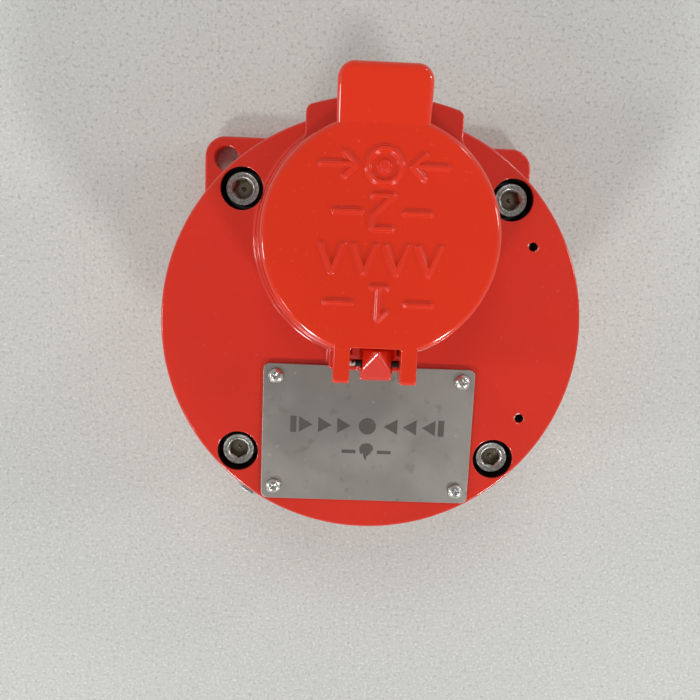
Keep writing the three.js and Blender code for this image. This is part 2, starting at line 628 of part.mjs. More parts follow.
function contactHousing() {
  const wide = (half) => [-half, half];
  const tower = block(wide(BLOCK_HALF_X), wide(BLOCK_HALF_Y), BLOCK_Z);
  const shelf = block(wide(SHELF_HALF_X), wide(SHELF_HALF_Y), [BLOCK_Z[0], BLOCK_FLOOR]);
  const window = block(
    wide(BLOCK_WINDOW_HALF_X), wide(BLOCK_HALF_Y + 1), [BLOCK_FLOOR, BLOCK_WINDOW_TOP],
  );
  const sideSlots = block(
    wide(BLOCK_HALF_X + 1), wide(FIXED_CONTACT.halfY + GAP), [BLOCK_FLOOR, FIXED_CONTACT.z[1] + GAP],
  );
  const stemHole = cylinder(CARRIER_R + GAP, [BLOCK_WINDOW_TOP - 1, BLOCK_Z[1] + 1]);
  const springPocket = cylinder(SPRING_POCKET.r, [SPRING_POCKET.z, BLOCK_FLOOR + 1]);
  const terminalHoles = [-1, 1].map((i) =>
    cylinder(TERMINAL.holeR, [BLOCK_FLOOR - 4, BLOCK_FLOOR + 1], 12).translate(i * TERMINAL.x, 0, 0));
  const screwHoles = [-1, 1].map((i) =>
    cylinder(BLOCK_SCREW.holeR, [BLOCK_Z[0] - 1, BLOCK_FLOOR + 1], 12)
      .translate(i * BLOCK_SCREW.x, i * BLOCK_SCREW.y, 0));
  return surface(cut(
    join(tower, shelf), window, sideSlots, stemHole, springPocket, ...terminalHoles, ...screwHoles,
  ));
}

function contactCarrier() {
  const { halfX, halfY, z } = CROSSHEAD;
  const stem = cylinder(CARRIER_R, [z[0] + 1, CARRIER_TOP]);
  const crosshead = block([-halfX, halfX], [-halfY, halfY], z);
  const slot = block(
    [-halfX - 1, halfX + 1], [-BRIDGE.halfY - GAP, BRIDGE.halfY + GAP],
    [BRIDGE.z[0] - GAP, BRIDGE.z[1] + GAP],
  );
  return surface(cut(join(stem, crosshead), slot));
}

function contactBridge() {
  const { halfX, halfY, z, buttonR, buttonX, buttonHeight } = BRIDGE;
  const strip = block([-halfX, halfX], [-halfY, halfY], z);
  const buttons = [-1, 1].map((i) =>
    cylinder(buttonR, [z[0] - buttonHeight, z[0] + 0.5], 12).translate(i * buttonX, 0, 0));
  return surface(join(strip, ...buttons));
}

function fixedContact(side) {
  const { halfY, z, x, rivetHeight } = FIXED_CONTACT;
  const ends = side > 0 ? x : [-x[1], -x[0]];
  const strip = block(ends, [-halfY, halfY], z);
  const rivet = cylinder(BRIDGE.buttonR, [z[1] - 0.5, z[1] + rivetHeight], 12);
  rivet.translate(side * BRIDGE.buttonX, 0, 0);
  const hole = cylinder(TERMINAL.holeR, [z[0] - 1, z[1] + 1], 12).translate(side * TERMINAL.x, 0, 0);
  return surface(cut(join(strip, rivet), hole));
}

function mountingPlate() {
  const { halfX, y, z, r } = MOUNT_PLATE;
  const sheet = solid(block([-halfX, halfX], y, z)).intersect(solid(cylinder(r, z, LARGE)));
  const through = [z[0] - 1, z[1] + 1];
  const postHoles = postPlaces().map(([x, postY]) => cylinder(POST_HOLE_R, through).translate(x, postY, 0));
  const blockHoles = [-1, 1].map((i) =>
    cylinder(BLOCK_SCREW.holeR, through, 12)
      .translate(i * BLOCK_SCREW.x, BOSS_Y + i * BLOCK_SCREW.y, 0));
  return surface(cut(sheet, ...postHoles, ...blockHoles));
}

// ---------------------------------------------------------------------------------------------
// Assembly

add('rear_body', rearBody(), redEnamel);
add('front_cover', frontCover(), redEnamel);
add('cover_gasket', gasket(), rubber);

FOUR_CORNERS.forEach(([i, j], n) => {
  add(`cover_screw_${n + 1}`, capScrew(), zincPlated, [i * SCREW_X, j * SCREW_Y, 0]);
  const washer = springWasher(SCREW_HOLE_R, SCREW_HEAD_R - 0.1, WASHER_Z);
  add(`cover_washer_${n + 1}`, washer, springSteel, [i * SCREW_X, j * SCREW_Y, 0]);
});

add('nameplate', nameplate(), brushedPlate);
PLATE_SCREW_Y.flatMap((y) => [[-PLATE_SCREW_X, y], [PLATE_SCREW_X, y]]).forEach(([x, y], n) => {
  const seat = PLATE_TOP + 0.2;
  const screw = slottedScrew({ ...PLATE_SCREW, length: seat - PLATE_SCREW.end, slotWidth: 0.6 });
  add(`nameplate_screw_${n + 1}`, screw, stainless, [x, y, seat]);
});

add('flap', flap(), redEnamel);
add('hinge_pin', hingePin(), stainless, [0, PIN_Y, PIN_Z]);

add('push_button', pushButton(), redPlastic, BOSS_AXIS);
add('actuator_rod', actuatorRod(), stainless, BOSS_AXIS);
add('actuator_bush', actuatorBush(), brass, BOSS_AXIS);
add('rod_circlip', rodClip(), springSteel, BOSS_AXIS);
add('return_spring', coilSpring(RETURN_SPRING), springSteel, BOSS_AXIS);

add('contact_block_housing', contactHousing(), blackPlastic, BOSS_AXIS);
add('contact_carrier', contactCarrier(), ivoryPlastic, BOSS_AXIS);
add('contact_bridge', contactBridge(), brass, BOSS_AXIS);
add('contact_spring', coilSpring(CONTACT_SPRING, 8), springSteel, BOSS_AXIS);
[['left', -1], ['right', 1]].forEach(([label, side]) => {
  const seat = FIXED_CONTACT.z[1] + GAP;
  const screw = slottedScrew({ headR: 2.6, headHeight: 2, r: 1.5, length: 5 });
  add(`fixed_contact_${label}`, fixedContact(side), brass, BOSS_AXIS);
  add(`terminal_screw_${label}`, screw, zincPlated, [side * TERMINAL.x, BOSS_Y, seat]);
});
[-1, 1].forEach((i, n) => {
  const seat = BLOCK_FLOOR + GAP;
  const length = seat - MOUNT_PLATE.z[0];
  const screw = slottedScrew({ headR: 2.2, headHeight: 1.7, r: 1.3, length });
  const place = [i * BLOCK_SCREW.x, BOSS_Y + i * BLOCK_SCREW.y, seat];
  add(`contact_block_screw_${n + 1}`, screw, zincPlated, place);
});

add('mounting_plate', mountingPlate(), zincPlated);
postPlaces().forEach(([x, y], n) => {
  const seat = MOUNT_PLATE.z[1] + GAP;
  const length = seat - CAVITY_FLOOR - 1;
  const screw = slottedScrew({ headR: 3.3, headHeight: 2.4, r: M4_R, length });
  add(`mounting_plate_screw_${n + 1}`, screw, zincPlated, [x, y, seat]);
});

const innerWasher = [INNER_EARTH.bossTop + GAP, INNER_EARTH.bossTop + GAP + 1];
const innerSeat = innerWasher[1] + GAP;
const innerLength = innerSeat - CAVITY_FLOOR - 1;
const innerScrew = slottedScrew({ headR: 4, headHeight: 2.5, r: M4_R, length: innerLength });
const innerRing = ring(POST_HOLE_R, 4.6, innerWasher, 20);
add('internal_earth_washer', innerRing, brass, [INNER_EARTH.x, INNER_EARTH.y, 0]);
add('internal_earth_screw', innerScrew, brass, [INNER_EARTH.x, INNER_EARTH.y, innerSeat]);

// The outer earth bolt and its washers are turned on Z in a group that points them out of the pad.
const outerEarth = new THREE.Group();
outerEarth.rotation.set(0, Math.PI / 2, THREE.MathUtils.degToRad(OUTER_EARTH.angle), 'ZYX');
outerEarth.position.z = OUTER_EARTH.z;
const boltBody = join(
  cylinder(OUTER_EARTH.boltR, [EARTH_BOLT.start, EARTH_BOLT.head[0] + 0.5]),
  hexagon(EARTH_BOLT.af, EARTH_BOLT.head),
);
add('earth_bolt', surface(boltBody), zincPlated, [0, 0, 0], outerEarth);
const outerRing = ring(OUTER_EARTH.holeR, EARTH_PLAIN_WASHER.r, EARTH_PLAIN_WASHER.z, 20);
add('earth_plain_washer', outerRing, zincPlated, [0, 0, 0], outerEarth);
const { r: springWasherR, z: springWasherZ } = EARTH_SPRING_WASHER;
const outerSpringRing = springWasher(OUTER_EARTH.holeR, springWasherR, springWasherZ);
add('earth_spring_washer', outerSpringRing, springSteel, [0, 0, 0], outerEarth);
model.add(outerEarth);

export default model;
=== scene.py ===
import math

import bpy
import numpy as np
import openvdb
from mathutils import Euler, Matrix, Vector


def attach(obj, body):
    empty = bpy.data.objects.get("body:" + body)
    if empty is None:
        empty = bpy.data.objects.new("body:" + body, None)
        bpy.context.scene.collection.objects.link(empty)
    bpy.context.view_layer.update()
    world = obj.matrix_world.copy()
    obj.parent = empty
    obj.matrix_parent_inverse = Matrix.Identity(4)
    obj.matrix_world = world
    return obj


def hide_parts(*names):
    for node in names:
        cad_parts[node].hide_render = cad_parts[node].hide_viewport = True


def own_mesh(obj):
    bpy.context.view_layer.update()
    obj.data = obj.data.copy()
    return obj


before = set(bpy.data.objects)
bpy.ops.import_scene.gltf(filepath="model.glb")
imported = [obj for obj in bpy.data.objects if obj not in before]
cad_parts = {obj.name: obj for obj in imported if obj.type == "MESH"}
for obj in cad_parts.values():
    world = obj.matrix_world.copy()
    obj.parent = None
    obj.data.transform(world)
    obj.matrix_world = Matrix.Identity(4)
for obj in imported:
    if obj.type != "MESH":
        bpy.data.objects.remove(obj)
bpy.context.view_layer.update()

# Shapes below are written in millimetres and become metres when their meshes are made.
MM = 0.001
COARSE = 1.0

# ---------------------------------------------------------------------------------------------
# Driving dimensions

GAP = 0.3
FOOT_HALF = 64.5
FOOT_THICKNESS = 8
LUG_HOLE = 56
LUG_HOLE_R = 4.75
BODY_R = 58
RIM_R = 65
BODY_TOP = 62
FLANGE_LOW = 38
FLARE_START = 40
FLARE_SLOPE = 7 / 6
CAVITY_R = 50
CAVITY_FLOOR = 12
PLATE_POSTS = ((33, -4), (31.5, -30))
PLATE_POST_R = 4.5
PLATE_POST_TOP = 19.7
INNER_EARTH = (28, 26)
INNER_EARTH_R = 5
INNER_EARTH_TOP = 15.7
INNER_HOLE_R = 2.3
HUB_R = 19
HUB_BORE_R = 12.75
HUB_END = 70
HUB_Z = 33
THREAD_PITCH = 1.5
THREAD_TURNS = 9.3
THREAD_START = 1.6

COVER_FACE = 78
SPIGOT_R = 49.6
SPIGOT_END = 52
GASKET_GROOVE_R = (47.4, 53)
GASKET_GROOVE_Z = (56, 59)
RECESS_R = 42
RECESS_Z = 68
BOSS_Y = -27.66
BOSS_TOP = 96
BOSS_TOP_R = 34
BOSS_FOOT_R = 36.4
CHIN_R = 66
CHIN_HALF_WIDTH = 21.5
WELL_R = 26
WELL_FLOOR = 74
BUSH_HOLE_R = 7.3
PIN_Y = 7.7
PIN_Z = 95.5
PIN_R = 1.0
PIN_HOLE_R = 1.3
BUTTON_R = 20
BUTTON_Z = (80, 90)
DISH_R = 181
LUG_X = -0.8
LUG_HALF_WIDTH = 4.6
LUG_END = (13.2, 94.4)
LUG_RIDGE = (5.2, 99.7)
LUG_RIDGE_HALF = 1.1
LUG_SHOULDER_Z = 96.6
LUG_NEAR_Y = 3.2
LEDGE_HALF_WIDTH = 13
LEDGE_END_Y = 11.5
LEDGE_TOP = 87.5
ARM_X = (7.05, 11.7)
ARM_EYE_R = 5.0
NOTCH_GAP = 0.5

FLAP_BOTTOM = 96.4
FLAP_TOP = 102
FLAP_R = 33.0
FLAP_RECESS_R = 23
FLAP_RECESS_Z = 98
SLOT_Y = 2.5
TAB_X = 0.7
TAB_HALF_WIDTH = 12.6
TAB_CORNER_R = 4.4
TAB_CREASE_Y = -57.8
TAB_END_Y = -72.7
TAB_TOP_ANGLE = math.atan2(3.4, 14.6)
TAB_LOW_ANGLE = math.atan2(4.4, 13.0)
MARK_HALF_WIDTH = 0.68
MARK_RELIEF = 0.9

SCREW = 40.73
SCREW_HOLE_R = 3.3
COUNTERBORE_R = 6.35
COUNTERBORE_FLOOR = 68.4
SCREW_SEAT = 70
TAPPED_HOLES = ((-48.2, -27), (-48.2, 27))
TAPPED_R = 1.3
TAPPED_DEPTH = 6
PLATE_HALF_X = 33
PLATE_HALF_Y = 21.85
PLATE_Y = 33.6
PLATE_Z = (78.2, 79.2)
PLATE_HOLE_R = 1.5
PLATE_HOLE_DEPTH = 6.5
PLATE_SCREWS = ((-29.1, 15.6), (29.1, 15.6), (29.1, 51.35), (-29.1, 51.35))
EARTH_ANGLE = math.radians(57)
EARTH_Z = 54
EARTH_PAD_R = 6.5
EARTH_PAD = (56, 66.7)
EARTH_HOLE_R = 2.8
EARTH_HOLE_START = 58


# ---------------------------------------------------------------------------------------------
# Distance fields: negative inside, positive outside, on any arrays that broadcast

def length(*parts):
    return np.sqrt(sum(part * part for part in parts))


def join(a, b, r=0.0):
    """Union with a concave fillet of radius r."""
    if np.isscalar(r) and r == 0:
        return np.minimum(a, b)
    return np.maximum(r, np.minimum(a, b)) - length(np.maximum(r - a, 0), np.maximum(r - b, 0))


def both(a, b, r=0.0):
    """Intersection with its edge rounded to radius r."""
    if np.isscalar(r) and r == 0:
        return np.maximum(a, b)
    return np.minimum(-r, np.maximum(a, b)) + length(np.maximum(r + a, 0), np.maximum(r + b, 0))


def cut(a, b, r=0.0):
    return both(a, -b, r)


def slab(side, z, low, high, r_low, r_high):
    """Everything inside the side field between two heights, with rounded edges."""
    return both(both(side, z - high, r_high), low - z, r_low)


def rectangle(x, y, xs, ys, corner=0.0):
    """Two-dimensional box with rounded corners."""
    dx = np.abs(x - (xs[0] + xs[1]) / 2) - (xs[1] - xs[0]) / 2 + corner
    dy = np.abs(y - (ys[0] + ys[1]) / 2) - (ys[1] - ys[0]) / 2 + corner
    return np.minimum(np.maximum(dx, dy), 0) + length(np.maximum(dx, 0), np.maximum(dy, 0)) - corner


def stroke(x, y, ax, ay, bx, by):
    """Distance from a straight line between two points."""
    dx, dy = bx - ax, by - ay
    along = np.clip(((x - ax) * dx + (y - ay) * dy) / (dx * dx + dy * dy), 0, 1)
    return length(x - ax - along * dx, y - ay - along * dy)


def hexagon(x, y, across_flats):
    angles = [math.radians(a) for a in (0, 60, 120)]
    return np.maximum.reduce(
        np.broadcast_arrays(*[np.abs(x * math.cos(a) + y * math.sin(a)) for a in angles])
    ) - across_flats / 2


# ---------------------------------------------------------------------------------------------
# From a field to a mesh

def gradient(field, points, step=0.02):
    """Unit normals of the field at the points."""
    slopes = []
    for axis in range(3):
        shift = np.zeros(3)
        shift[axis] = step
        slopes.append(field(*(points + shift).T) - field(*(points - shift).T))
    slopes = np.stack(slopes, 1)
    return slopes / np.maximum(length(*slopes.T), 1e-9)[:, None]


def settle(field, points, reach):
    """Moves the points onto the surface."""
    for _ in range(3):
        miss = np.clip(field(*points.T), -reach, reach)
        points = points - miss[:, None] * gradient(field, points)
    return points


def mesh_of(name, points, faces):
    mesh = bpy.data.meshes.new(name)
    sides = faces.shape[1]
    mesh.vertices.add(len(points))
    mesh.vertices.foreach_set("co", points.astype(np.float32).ravel())
    mesh.loops.add(faces.size)
    mesh.loops.foreach_set("vertex_index", faces.astype(np.int32).ravel())
    mesh.polygons.add(len(faces))
    mesh.polygons.foreach_set("loop_start", np.arange(0, faces.size, sides, dtype=np.int32))
    mesh.polygons.foreach_set("use_smooth", np.ones(len(faces), bool))
    mesh.update(calc_edges=True)
    mesh.validate()
    return mesh


def thinned(mesh, faces):
    """The mesh with about that many triangles."""
    holder = bpy.data.objects.new("thinning", mesh)
    bpy.context.scene.collection.objects.link(holder)
    modifier = holder.modifiers.new("thin", "DECIMATE")
    modifier.ratio = min(1.0, faces / (2 * len(mesh.polygons)))
    evaluated = holder.evaluated_get(bpy.context.evaluated_depsgraph_get())
    result = bpy.data.meshes.new_from_object(evaluated)
    bpy.data.objects.remove(holder)
    bpy.data.meshes.remove(mesh)
    return result


def coordinates(mesh):
    points = np.zeros(len(mesh.vertices) * 3, np.float32)
    mesh.vertices.foreach_get("co", points)
    return points.reshape(-1, 3).astype(float)


def sculpted(name, field, low, high, voxel, faces):
    """A closed mesh, in metres, of the surface where the field is zero."""
    voxel *= COARSE
    start = np.array(low, float) - 2.5 * voxel
    counts = np.ceil((np.array(high) - start) / voxel).astype(int) + 4
    axes = [(start[i] + voxel * np.arange(counts[i])).astype(np.float32) for i in range(3)]
    band = 3 * voxel
    values = np.clip(field(*np.ix_(*axes)), -band, band).astype(np.float32)
    grid = openvdb.FloatGrid(band)
    grid.copyFromArray(values)
    points, quads = grid.convertToQuads(isovalue=0.0)
    points = settle(field, start + voxel * points.astype(float), voxel)
    corners = points[quads[:, :3]]
    facing = np.cross(corners[:, 1] - corners[:, 0], corners[:, 2] - corners[:, 0])
    if (facing * gradient(field, corners.mean(1))).sum() < 0:
        quads = quads[:, ::-1]
    mesh = thinned(mesh_of(name, points, quads), faces)
    points = np.clip(settle(field, coordinates(mesh), voxel), low, high)
    normals = gradient(field, points)
    mesh.vertices.foreach_set("co", (points * MM).astype(np.float32).ravel())
    mesh.polygons.foreach_set("use_smooth", np.ones(len(mesh.polygons), bool))
    mesh.update()
    mesh.normals_split_custom_set_from_vertices(normals.tolist())
    mesh.name = name
    return mesh


def piece(name, mesh, material, body, nodes=(), place=(0, 0, 0), turn=(0, 0, 0)):
    """Puts a mesh in place, in millimetres, on a body, instead of the CAD nodes that it stands for."""
    thing = bpy.data.objects.new(name, mesh)
    bpy.context.scene.collection.objects.link(thing)
    thing.matrix_world = Matrix.Translation(Vector(place) * MM) @ Euler(turn).to_matrix().to_4x4()
    if not mesh.materials:
        mesh.materials.append(material)
    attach(thing, body)
    if nodes:
        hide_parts(*nodes)
    return thing


# ---------------------------------------------------------------------------------------------
# Cast pieces

def boss_side(x, y, z):
    """Side of the tapered boss."""
    taper = (BOSS_FOOT_R - BOSS_TOP_R) / (BOSS_TOP - COVER_FACE)
    radius = BOSS_TOP_R + taper * (BOSS_TOP - z)
    return (length(x, y - BOSS_Y) - radius) / math.hypot(1, taper)


def beside(start, end, p, q):
    """Distance of (p, q) to the left of the line from start to end."""
    across, along = end[0] - start[0], end[1] - start[1]
    return ((q - start[1]) * across - (p - start[0]) * along) / math.hypot(across, along)


def hinge_lug(x, y, z):
    """Lug between the arms: its top slopes to the end and its flanks lean in to a ridge."""
    slope = beside(LUG_END, LUG_RIDGE, y, z)
    profile = both(-slope, y - LUG_END[0], 1.3)
    profile = both(profile, LUG_NEAR_Y - y, 0.8)
    web = rectangle(y, z, (-4, 8), (LEDGE_TOP - 3, 94.5))
    profile = join(profile, web, 1.2)
    under = beside((LEDGE_END_Y, LEDGE_TOP - 2), (LUG_END[0], LEDGE_TOP + 1.5), y, z)
    profile = both(both(profile, -under, 0.6), LEDGE_TOP - 3 - z)
    from_middle = np.abs(x - LUG_X)
    flank = beside((LUG_HALF_WIDTH, LUG_SHOULDER_Z), (LUG_RIDGE_HALF, LUG_RIDGE[1]), from_middle, z)
    side = both(from_middle - LUG_HALF_WIDTH, -flank, 0.8)
    return both(profile, side, 0.9)


def cover_field(x, y, z):
    radius = length(x, y)
    disc = slab(radius - RIM_R, z, BODY_TOP + GAP, COVER_FACE, 0.4, 0.9)
    spigot = slab(radius - SPIGOT_R, z, SPIGOT_END, COVER_FACE - 4, 0.6, 0)
    groove = rectangle(radius, z, GASKET_GROOVE_R, GASKET_GROOVE_Z, 0.3)
    spigot = cut(spigot, groove, 0.2)
    recess = slab(radius - RECESS_R, z, SPIGOT_END - 4, RECESS_Z, 0, 2)
    shell = cut(join(disc, spigot, 0.4), recess, 0.5)

    chin = both(np.abs(x) - CHIN_HALF_WIDTH, radius - CHIN_R, 1.5)
    chin = both(chin, y - BOSS_Y + 12)
    boss = both(boss_side(x, y, z), WELL_FLOOR - 2 - z)
    tower = join(boss, both(chin, BODY_TOP + GAP - z, 0.4), 1.2)
    tower = both(tower, z - BOSS_TOP, 0.5)
    ledge_side = rectangle(x, y, (-LEDGE_HALF_WIDTH, LEDGE_HALF_WIDTH), (-9, LEDGE_END_Y), 1.2)
    ledge = slab(ledge_side, z, WELL_FLOOR, LEDGE_TOP, 0, 0.6)
    top = join(join(tower, ledge, 0.8), hinge_lug(x, y, z), 0.9)

    arm_middle = (ARM_X[0] + ARM_X[1]) / 2
    notch_x = np.abs(np.abs(x) - arm_middle) - (ARM_X[1] - ARM_X[0]) / 2 - NOTCH_GAP
    notch_reach = ARM_EYE_R + NOTCH_GAP
    notch_yz = rectangle(y, z, (PIN_Y - notch_reach, PIN_Y + 9), (PIN_Z - notch_reach, 110))
    top = cut(top, both(notch_x, notch_yz), 0.4)
    foot_fillet = 1.2 * np.clip((RIM_R - 0.3 - radius) / 3, 0, 1)
    cast = join(shell, top, foot_fillet)

    well = slab(length(x, y - BOSS_Y) - WELL_R, z, WELL_FLOOR, 130, 1.5, 0)
    cast = cut(cast, well, 0.7)
    cast = cut(cast, length(x, y - BOSS_Y) - BUSH_HOLE_R, 0.3)
    pin_hole = both(length(y - PIN_Y, z - PIN_Z) - PIN_HOLE_R, np.abs(x) - LUG_HALF_WIDTH - 2)
    cast = cut(cast, pin_hole, 0.25)
    screw_axis = length(np.abs(x) - SCREW, np.abs(y) - SCREW)
    cast = cut(cast, both(screw_axis - COUNTERBORE_R, COUNTERBORE_FLOOR - z, 0.6), 0.25)
    cast = cut(cast, both(screw_axis - SCREW_HOLE_R, z - 76))
    tapped = length(x - TAPPED_HOLES[0][0], np.abs(y) - TAPPED_HOLES[1][1])
    cast = cut(cast, both(tapped - TAPPED_R, COVER_FACE - TAPPED_DEPTH - z, 0.6), 0.15)
    for hole_y in (PLATE_SCREWS[0][1], PLATE_SCREWS[2][1]):
        plate_hole = length(np.abs(x) - PLATE_SCREWS[1][0], y - hole_y) - PLATE_HOLE_R
        cast = cut(cast, both(plate_hole, COVER_FACE - PLATE_HOLE_DEPTH - z))
    return cast


# Raised marks of the flap, as strokes about each mark's own centre
ONE = ((0, -4.4, 0, 4.4), (0, 4.4, -2, 2.4), (-2, -4.4, 2, -4.4))
TWO = ((-2.6, 4.4, 2.6, 4.4), (2.6, 4.4, 2.6, 0.8), (2.6, 0.8, -2.6, -4.4), (-2.6, -4.4, 2.6, -4.4))
DASH = ((-3.4, 0, 3.4, 0),)
CHEVRON = ((-2.9, -3.6, 0, 3.6), (0, 3.6, 2.9, -3.6))
ARROW = ((-4.6, 0, 4.6, 0), (1.6, 3, 4.6, 0), (1.6, -3, 4.6, 0))
TARGET_Y = -19.2
MARK_ROWS = (
    (17.5, ((ONE, 0, 1), (DASH, -11, 1), (DASH, 11, 1))),
    (5.5, tuple((CHEVRON, x, 1) for x in (-13.2, -4.4, 4.4, 13.2))),
    (-7, ((TWO, 0, 1), (DASH, -9.4, 1), (DASH, 9.4, 1))),
    (TARGET_Y, ((ARROW, -12.2, 1), (ARROW, 12.2, -1))),
)
TARGET_RING_R = 4.45
TARGET_DOT_R = 0.95


def raised_marks(x, y):
    """Distance from the middle line of the nearest stroke, for x and y about the boss axis."""
    nearest = np.abs(length(x, y - TARGET_Y) - TARGET_RING_R)
    nearest = np.minimum(nearest, length(x, y - TARGET_Y) - TARGET_DOT_R)
    for row_y, marks in MARK_ROWS:
        for strokes, mark_x, way in marks:
            for ax, ay, bx, by in strokes:
                line = stroke(x, y, mark_x + way * ax, row_y + ay, mark_x + way * bx, row_y + by)
                nearest = np.minimum(nearest, line)
    return nearest


def hinge_arms(x, y, z):
    eye = length(y - PIN_Y, z - PIN_Z) - ARM_EYE_R
    bar = both(y - PIN_Y - ARM_EYE_R, z - FLAP_TOP, 1.5)
    bar = both(bar, both(FLAP_BOTTOM - z, -1 - y))
    middle = (ARM_X[0] + ARM_X[1]) / 2
    return both(join(bar, eye, 0.3), np.abs(np.abs(x) - middle) - (ARM_X[1] - ARM_X[0]) / 2, 0.5)


def finger_tab(x, y, z):
    plan = rectangle(x - TAB_X, y, (-TAB_HALF_WIDTH, TAB_HALF_WIDTH), (TAB_END_Y, -36), TAB_CORNER_R)
    from_crease = y - TAB_CREASE_Y
    top = from_crease * math.sin(TAB_TOP_ANGLE) + (z - FLAP_TOP) * math.cos(TAB_TOP_ANGLE)
    low = from_crease * math.sin(TAB_LOW_ANGLE) + (z - FLAP_BOTTOM) * math.cos(TAB_LOW_ANGLE)
    low = np.minimum(low, z - FLAP_BOTTOM)
    end = both(plan, top, 1.8 + 0.5 * np.clip((TAB_END_Y + 6 - y) / 4, 0, 1))
    return both(end, -low, 1.3)


def flap_field(x, y, z):
    from_axis = length(x, y - BOSS_Y)
    disc = slab(from_axis - FLAP_R, z, FLAP_BOTTOM, FLAP_TOP, 0.5, 2.0)
    body = join(disc, finger_tab(x, y, z))
    slot = both(np.abs(x) - ARM_X[0], SLOT_Y - y, 0.8)
    body = cut(body, slot, 0.4)
    body = join(body, hinge_arms(x, y, z))
    recess = slab(from_axis - FLAP_RECESS_R, z, 90, FLAP_RECESS_Z, 0, 1)
    body = cut(body, recess, 0.5)
    pin_hole = length(y - PIN_Y, z - PIN_Z) - PIN_HOLE_R
    body = cut(body, pin_hole, 0.2)
    marks = both(raised_marks(x, y - BOSS_Y) - MARK_HALF_WIDTH, z - FLAP_TOP - MARK_RELIEF, 0.62)
    marks = both(marks, 100 - z)
    return join(body, marks, 0.5)


def body_field(x, y, z):
    radius = length(x, y)
    foot_side = rectangle(x, y, (-FOOT_HALF, FOOT_HALF), (-FOOT_HALF, FOOT_HALF), 8)
    foot = slab(foot_side, z, 0, FOOT_THICKNESS, 0.5, 1.1)
    wall = both(radius - BODY_R, z - 60)
    flare = (radius - BODY_R + (FLARE_START - z) * FLARE_SLOPE) / math.hypot(1, FLARE_SLOPE)
    flange = both(both(radius - RIM_R, z - BODY_TOP, 0.6), flare, 1.2)
    flange = both(flange, FLANGE_LOW - z)
    cast = join(both(wall, 0.4 - z), flange, 1.5)
    cast = join(cast, foot, 2.5)
    hub_side = length(x, z - HUB_Z) - HUB_R
    hub = both(both(hub_side, -HUB_END - y, 0.9), y + 48)
    cast = join(cast, hub, 2.2)
    along = x * math.cos(EARTH_ANGLE) + y * math.sin(EARTH_ANGLE)
    across = y * math.cos(EARTH_ANGLE) - x * math.sin(EARTH_ANGLE)
    pad_side = length(across, z - EARTH_Z) - EARTH_PAD_R
    pad = both(both(pad_side, along - EARTH_PAD[1], 0.6), EARTH_PAD[0] - along)
    cast = join(cast, both(pad, z - BODY_TOP), 0.8)

    cavity = slab(radius - CAVITY_R, z, CAVITY_FLOOR, 130, 2, 0)
    cast = cut(cast, cavity, 0.5)
    from_earth = length(x - INNER_EARTH[0], y - INNER_EARTH[1])
    from_posts = [length(np.abs(x) - post_x, y - post_y) for post_x, post_y in PLATE_POSTS]
    for from_post in from_posts:
        post = both(from_post - PLATE_POST_R, z - PLATE_POST_TOP, 0.4)
        cast = join(cast, both(post, CAVITY_FLOOR - 1 - z), 1)
    boss = both(from_earth - INNER_EARTH_R, z - INNER_EARTH_TOP, 0.4)
    cast = join(cast, both(boss, CAVITY_FLOOR - 1 - z), 1)
    for from_hole in (*from_posts, from_earth):
        cast = cut(cast, both(from_hole - INNER_HOLE_R, CAVITY_FLOOR + 0.5 - z))
    bore = both(length(x, z - HUB_Z) - HUB_BORE_R, y + 40)
    cast = cut(cast, bore, 0.8)
    earth_hole = both(length(across, z - EARTH_Z) - EARTH_HOLE_R, EARTH_HOLE_START - along)
    cast = cut(cast, earth_hole, 0.2)
    lug_hole = length(np.abs(x - y) / 2 - LUG_HOLE, (x + y) / 2) * math.sqrt(2) - LUG_HOLE_R
    cast = cut(cast, lug_hole, 0.5)
    screw_hole = both(length(np.abs(x) - SCREW, np.abs(y) - SCREW) - SCREW_HOLE_R, 50.5 - z)
    return cut(cast, screw_hole, 0.3)


# ---------------------------------------------------------------------------------------------
# Sheet, turned and bought pieces

def plate_field(x, y, z):
    side = rectangle(x, y, (-PLATE_HALF_X, PLATE_HALF_X), (-PLATE_HALF_Y, PLATE_HALF_Y), 2)
    plate = slab(side, z, PLATE_Z[0], PLATE_Z[1], 0.05, 0.08)
    holes = 1e3
    for hole_x, hole_y in PLATE_SCREWS:
        holes = np.minimum(holes, length(x - hole_x, y - hole_y + PLATE_Y) - PLATE_HOLE_R)
    return cut(plate, holes, 0.15)


KNURLS = 56
CAP_HEAD_R = 5
CAP_HEAD_HEIGHT = 6
SOCKET_FLATS = 5.4
SOCKET_FLOOR = 3.4
SOCKET_MOUTH_R = 3.4


def cap_screw_field(x, y, z):
    """M6 socket-head cap screw: its seat is at zero and its head above."""
    radius = length(x, y)
    knurl_band = np.clip((2.5 - np.abs(z - 2.6)) / 0.3, 0, 1)
    knurl = 0.12 * (0.5 + 0.5 * np.cos(KNURLS * np.arctan2(y, x))) * knurl_band
    head = slab(radius - CAP_HEAD_R + knurl, z, 0, CAP_HEAD_HEIGHT, 0.2, 0.3)
    shoulder = both(radius - 4.55, CAP_HEAD_HEIGHT - 0.12 - z)
    head = cut(head, both(shoulder, 3.75 - radius), 0.08)
    socket = both(hexagon(x, y, SOCKET_FLATS), SOCKET_FLOOR - 0.06 * radius ** 2 - z)
    mouth = (radius - z + CAP_HEAD_HEIGHT - SOCKET_MOUTH_R) / math.sqrt(2)
    head = cut(head, join(socket, mouth), 0.12)
    shank = slab(radius - 2.9, z, -18.5, 1, 0.5, 0)
    return join(head, shank, 0.3)


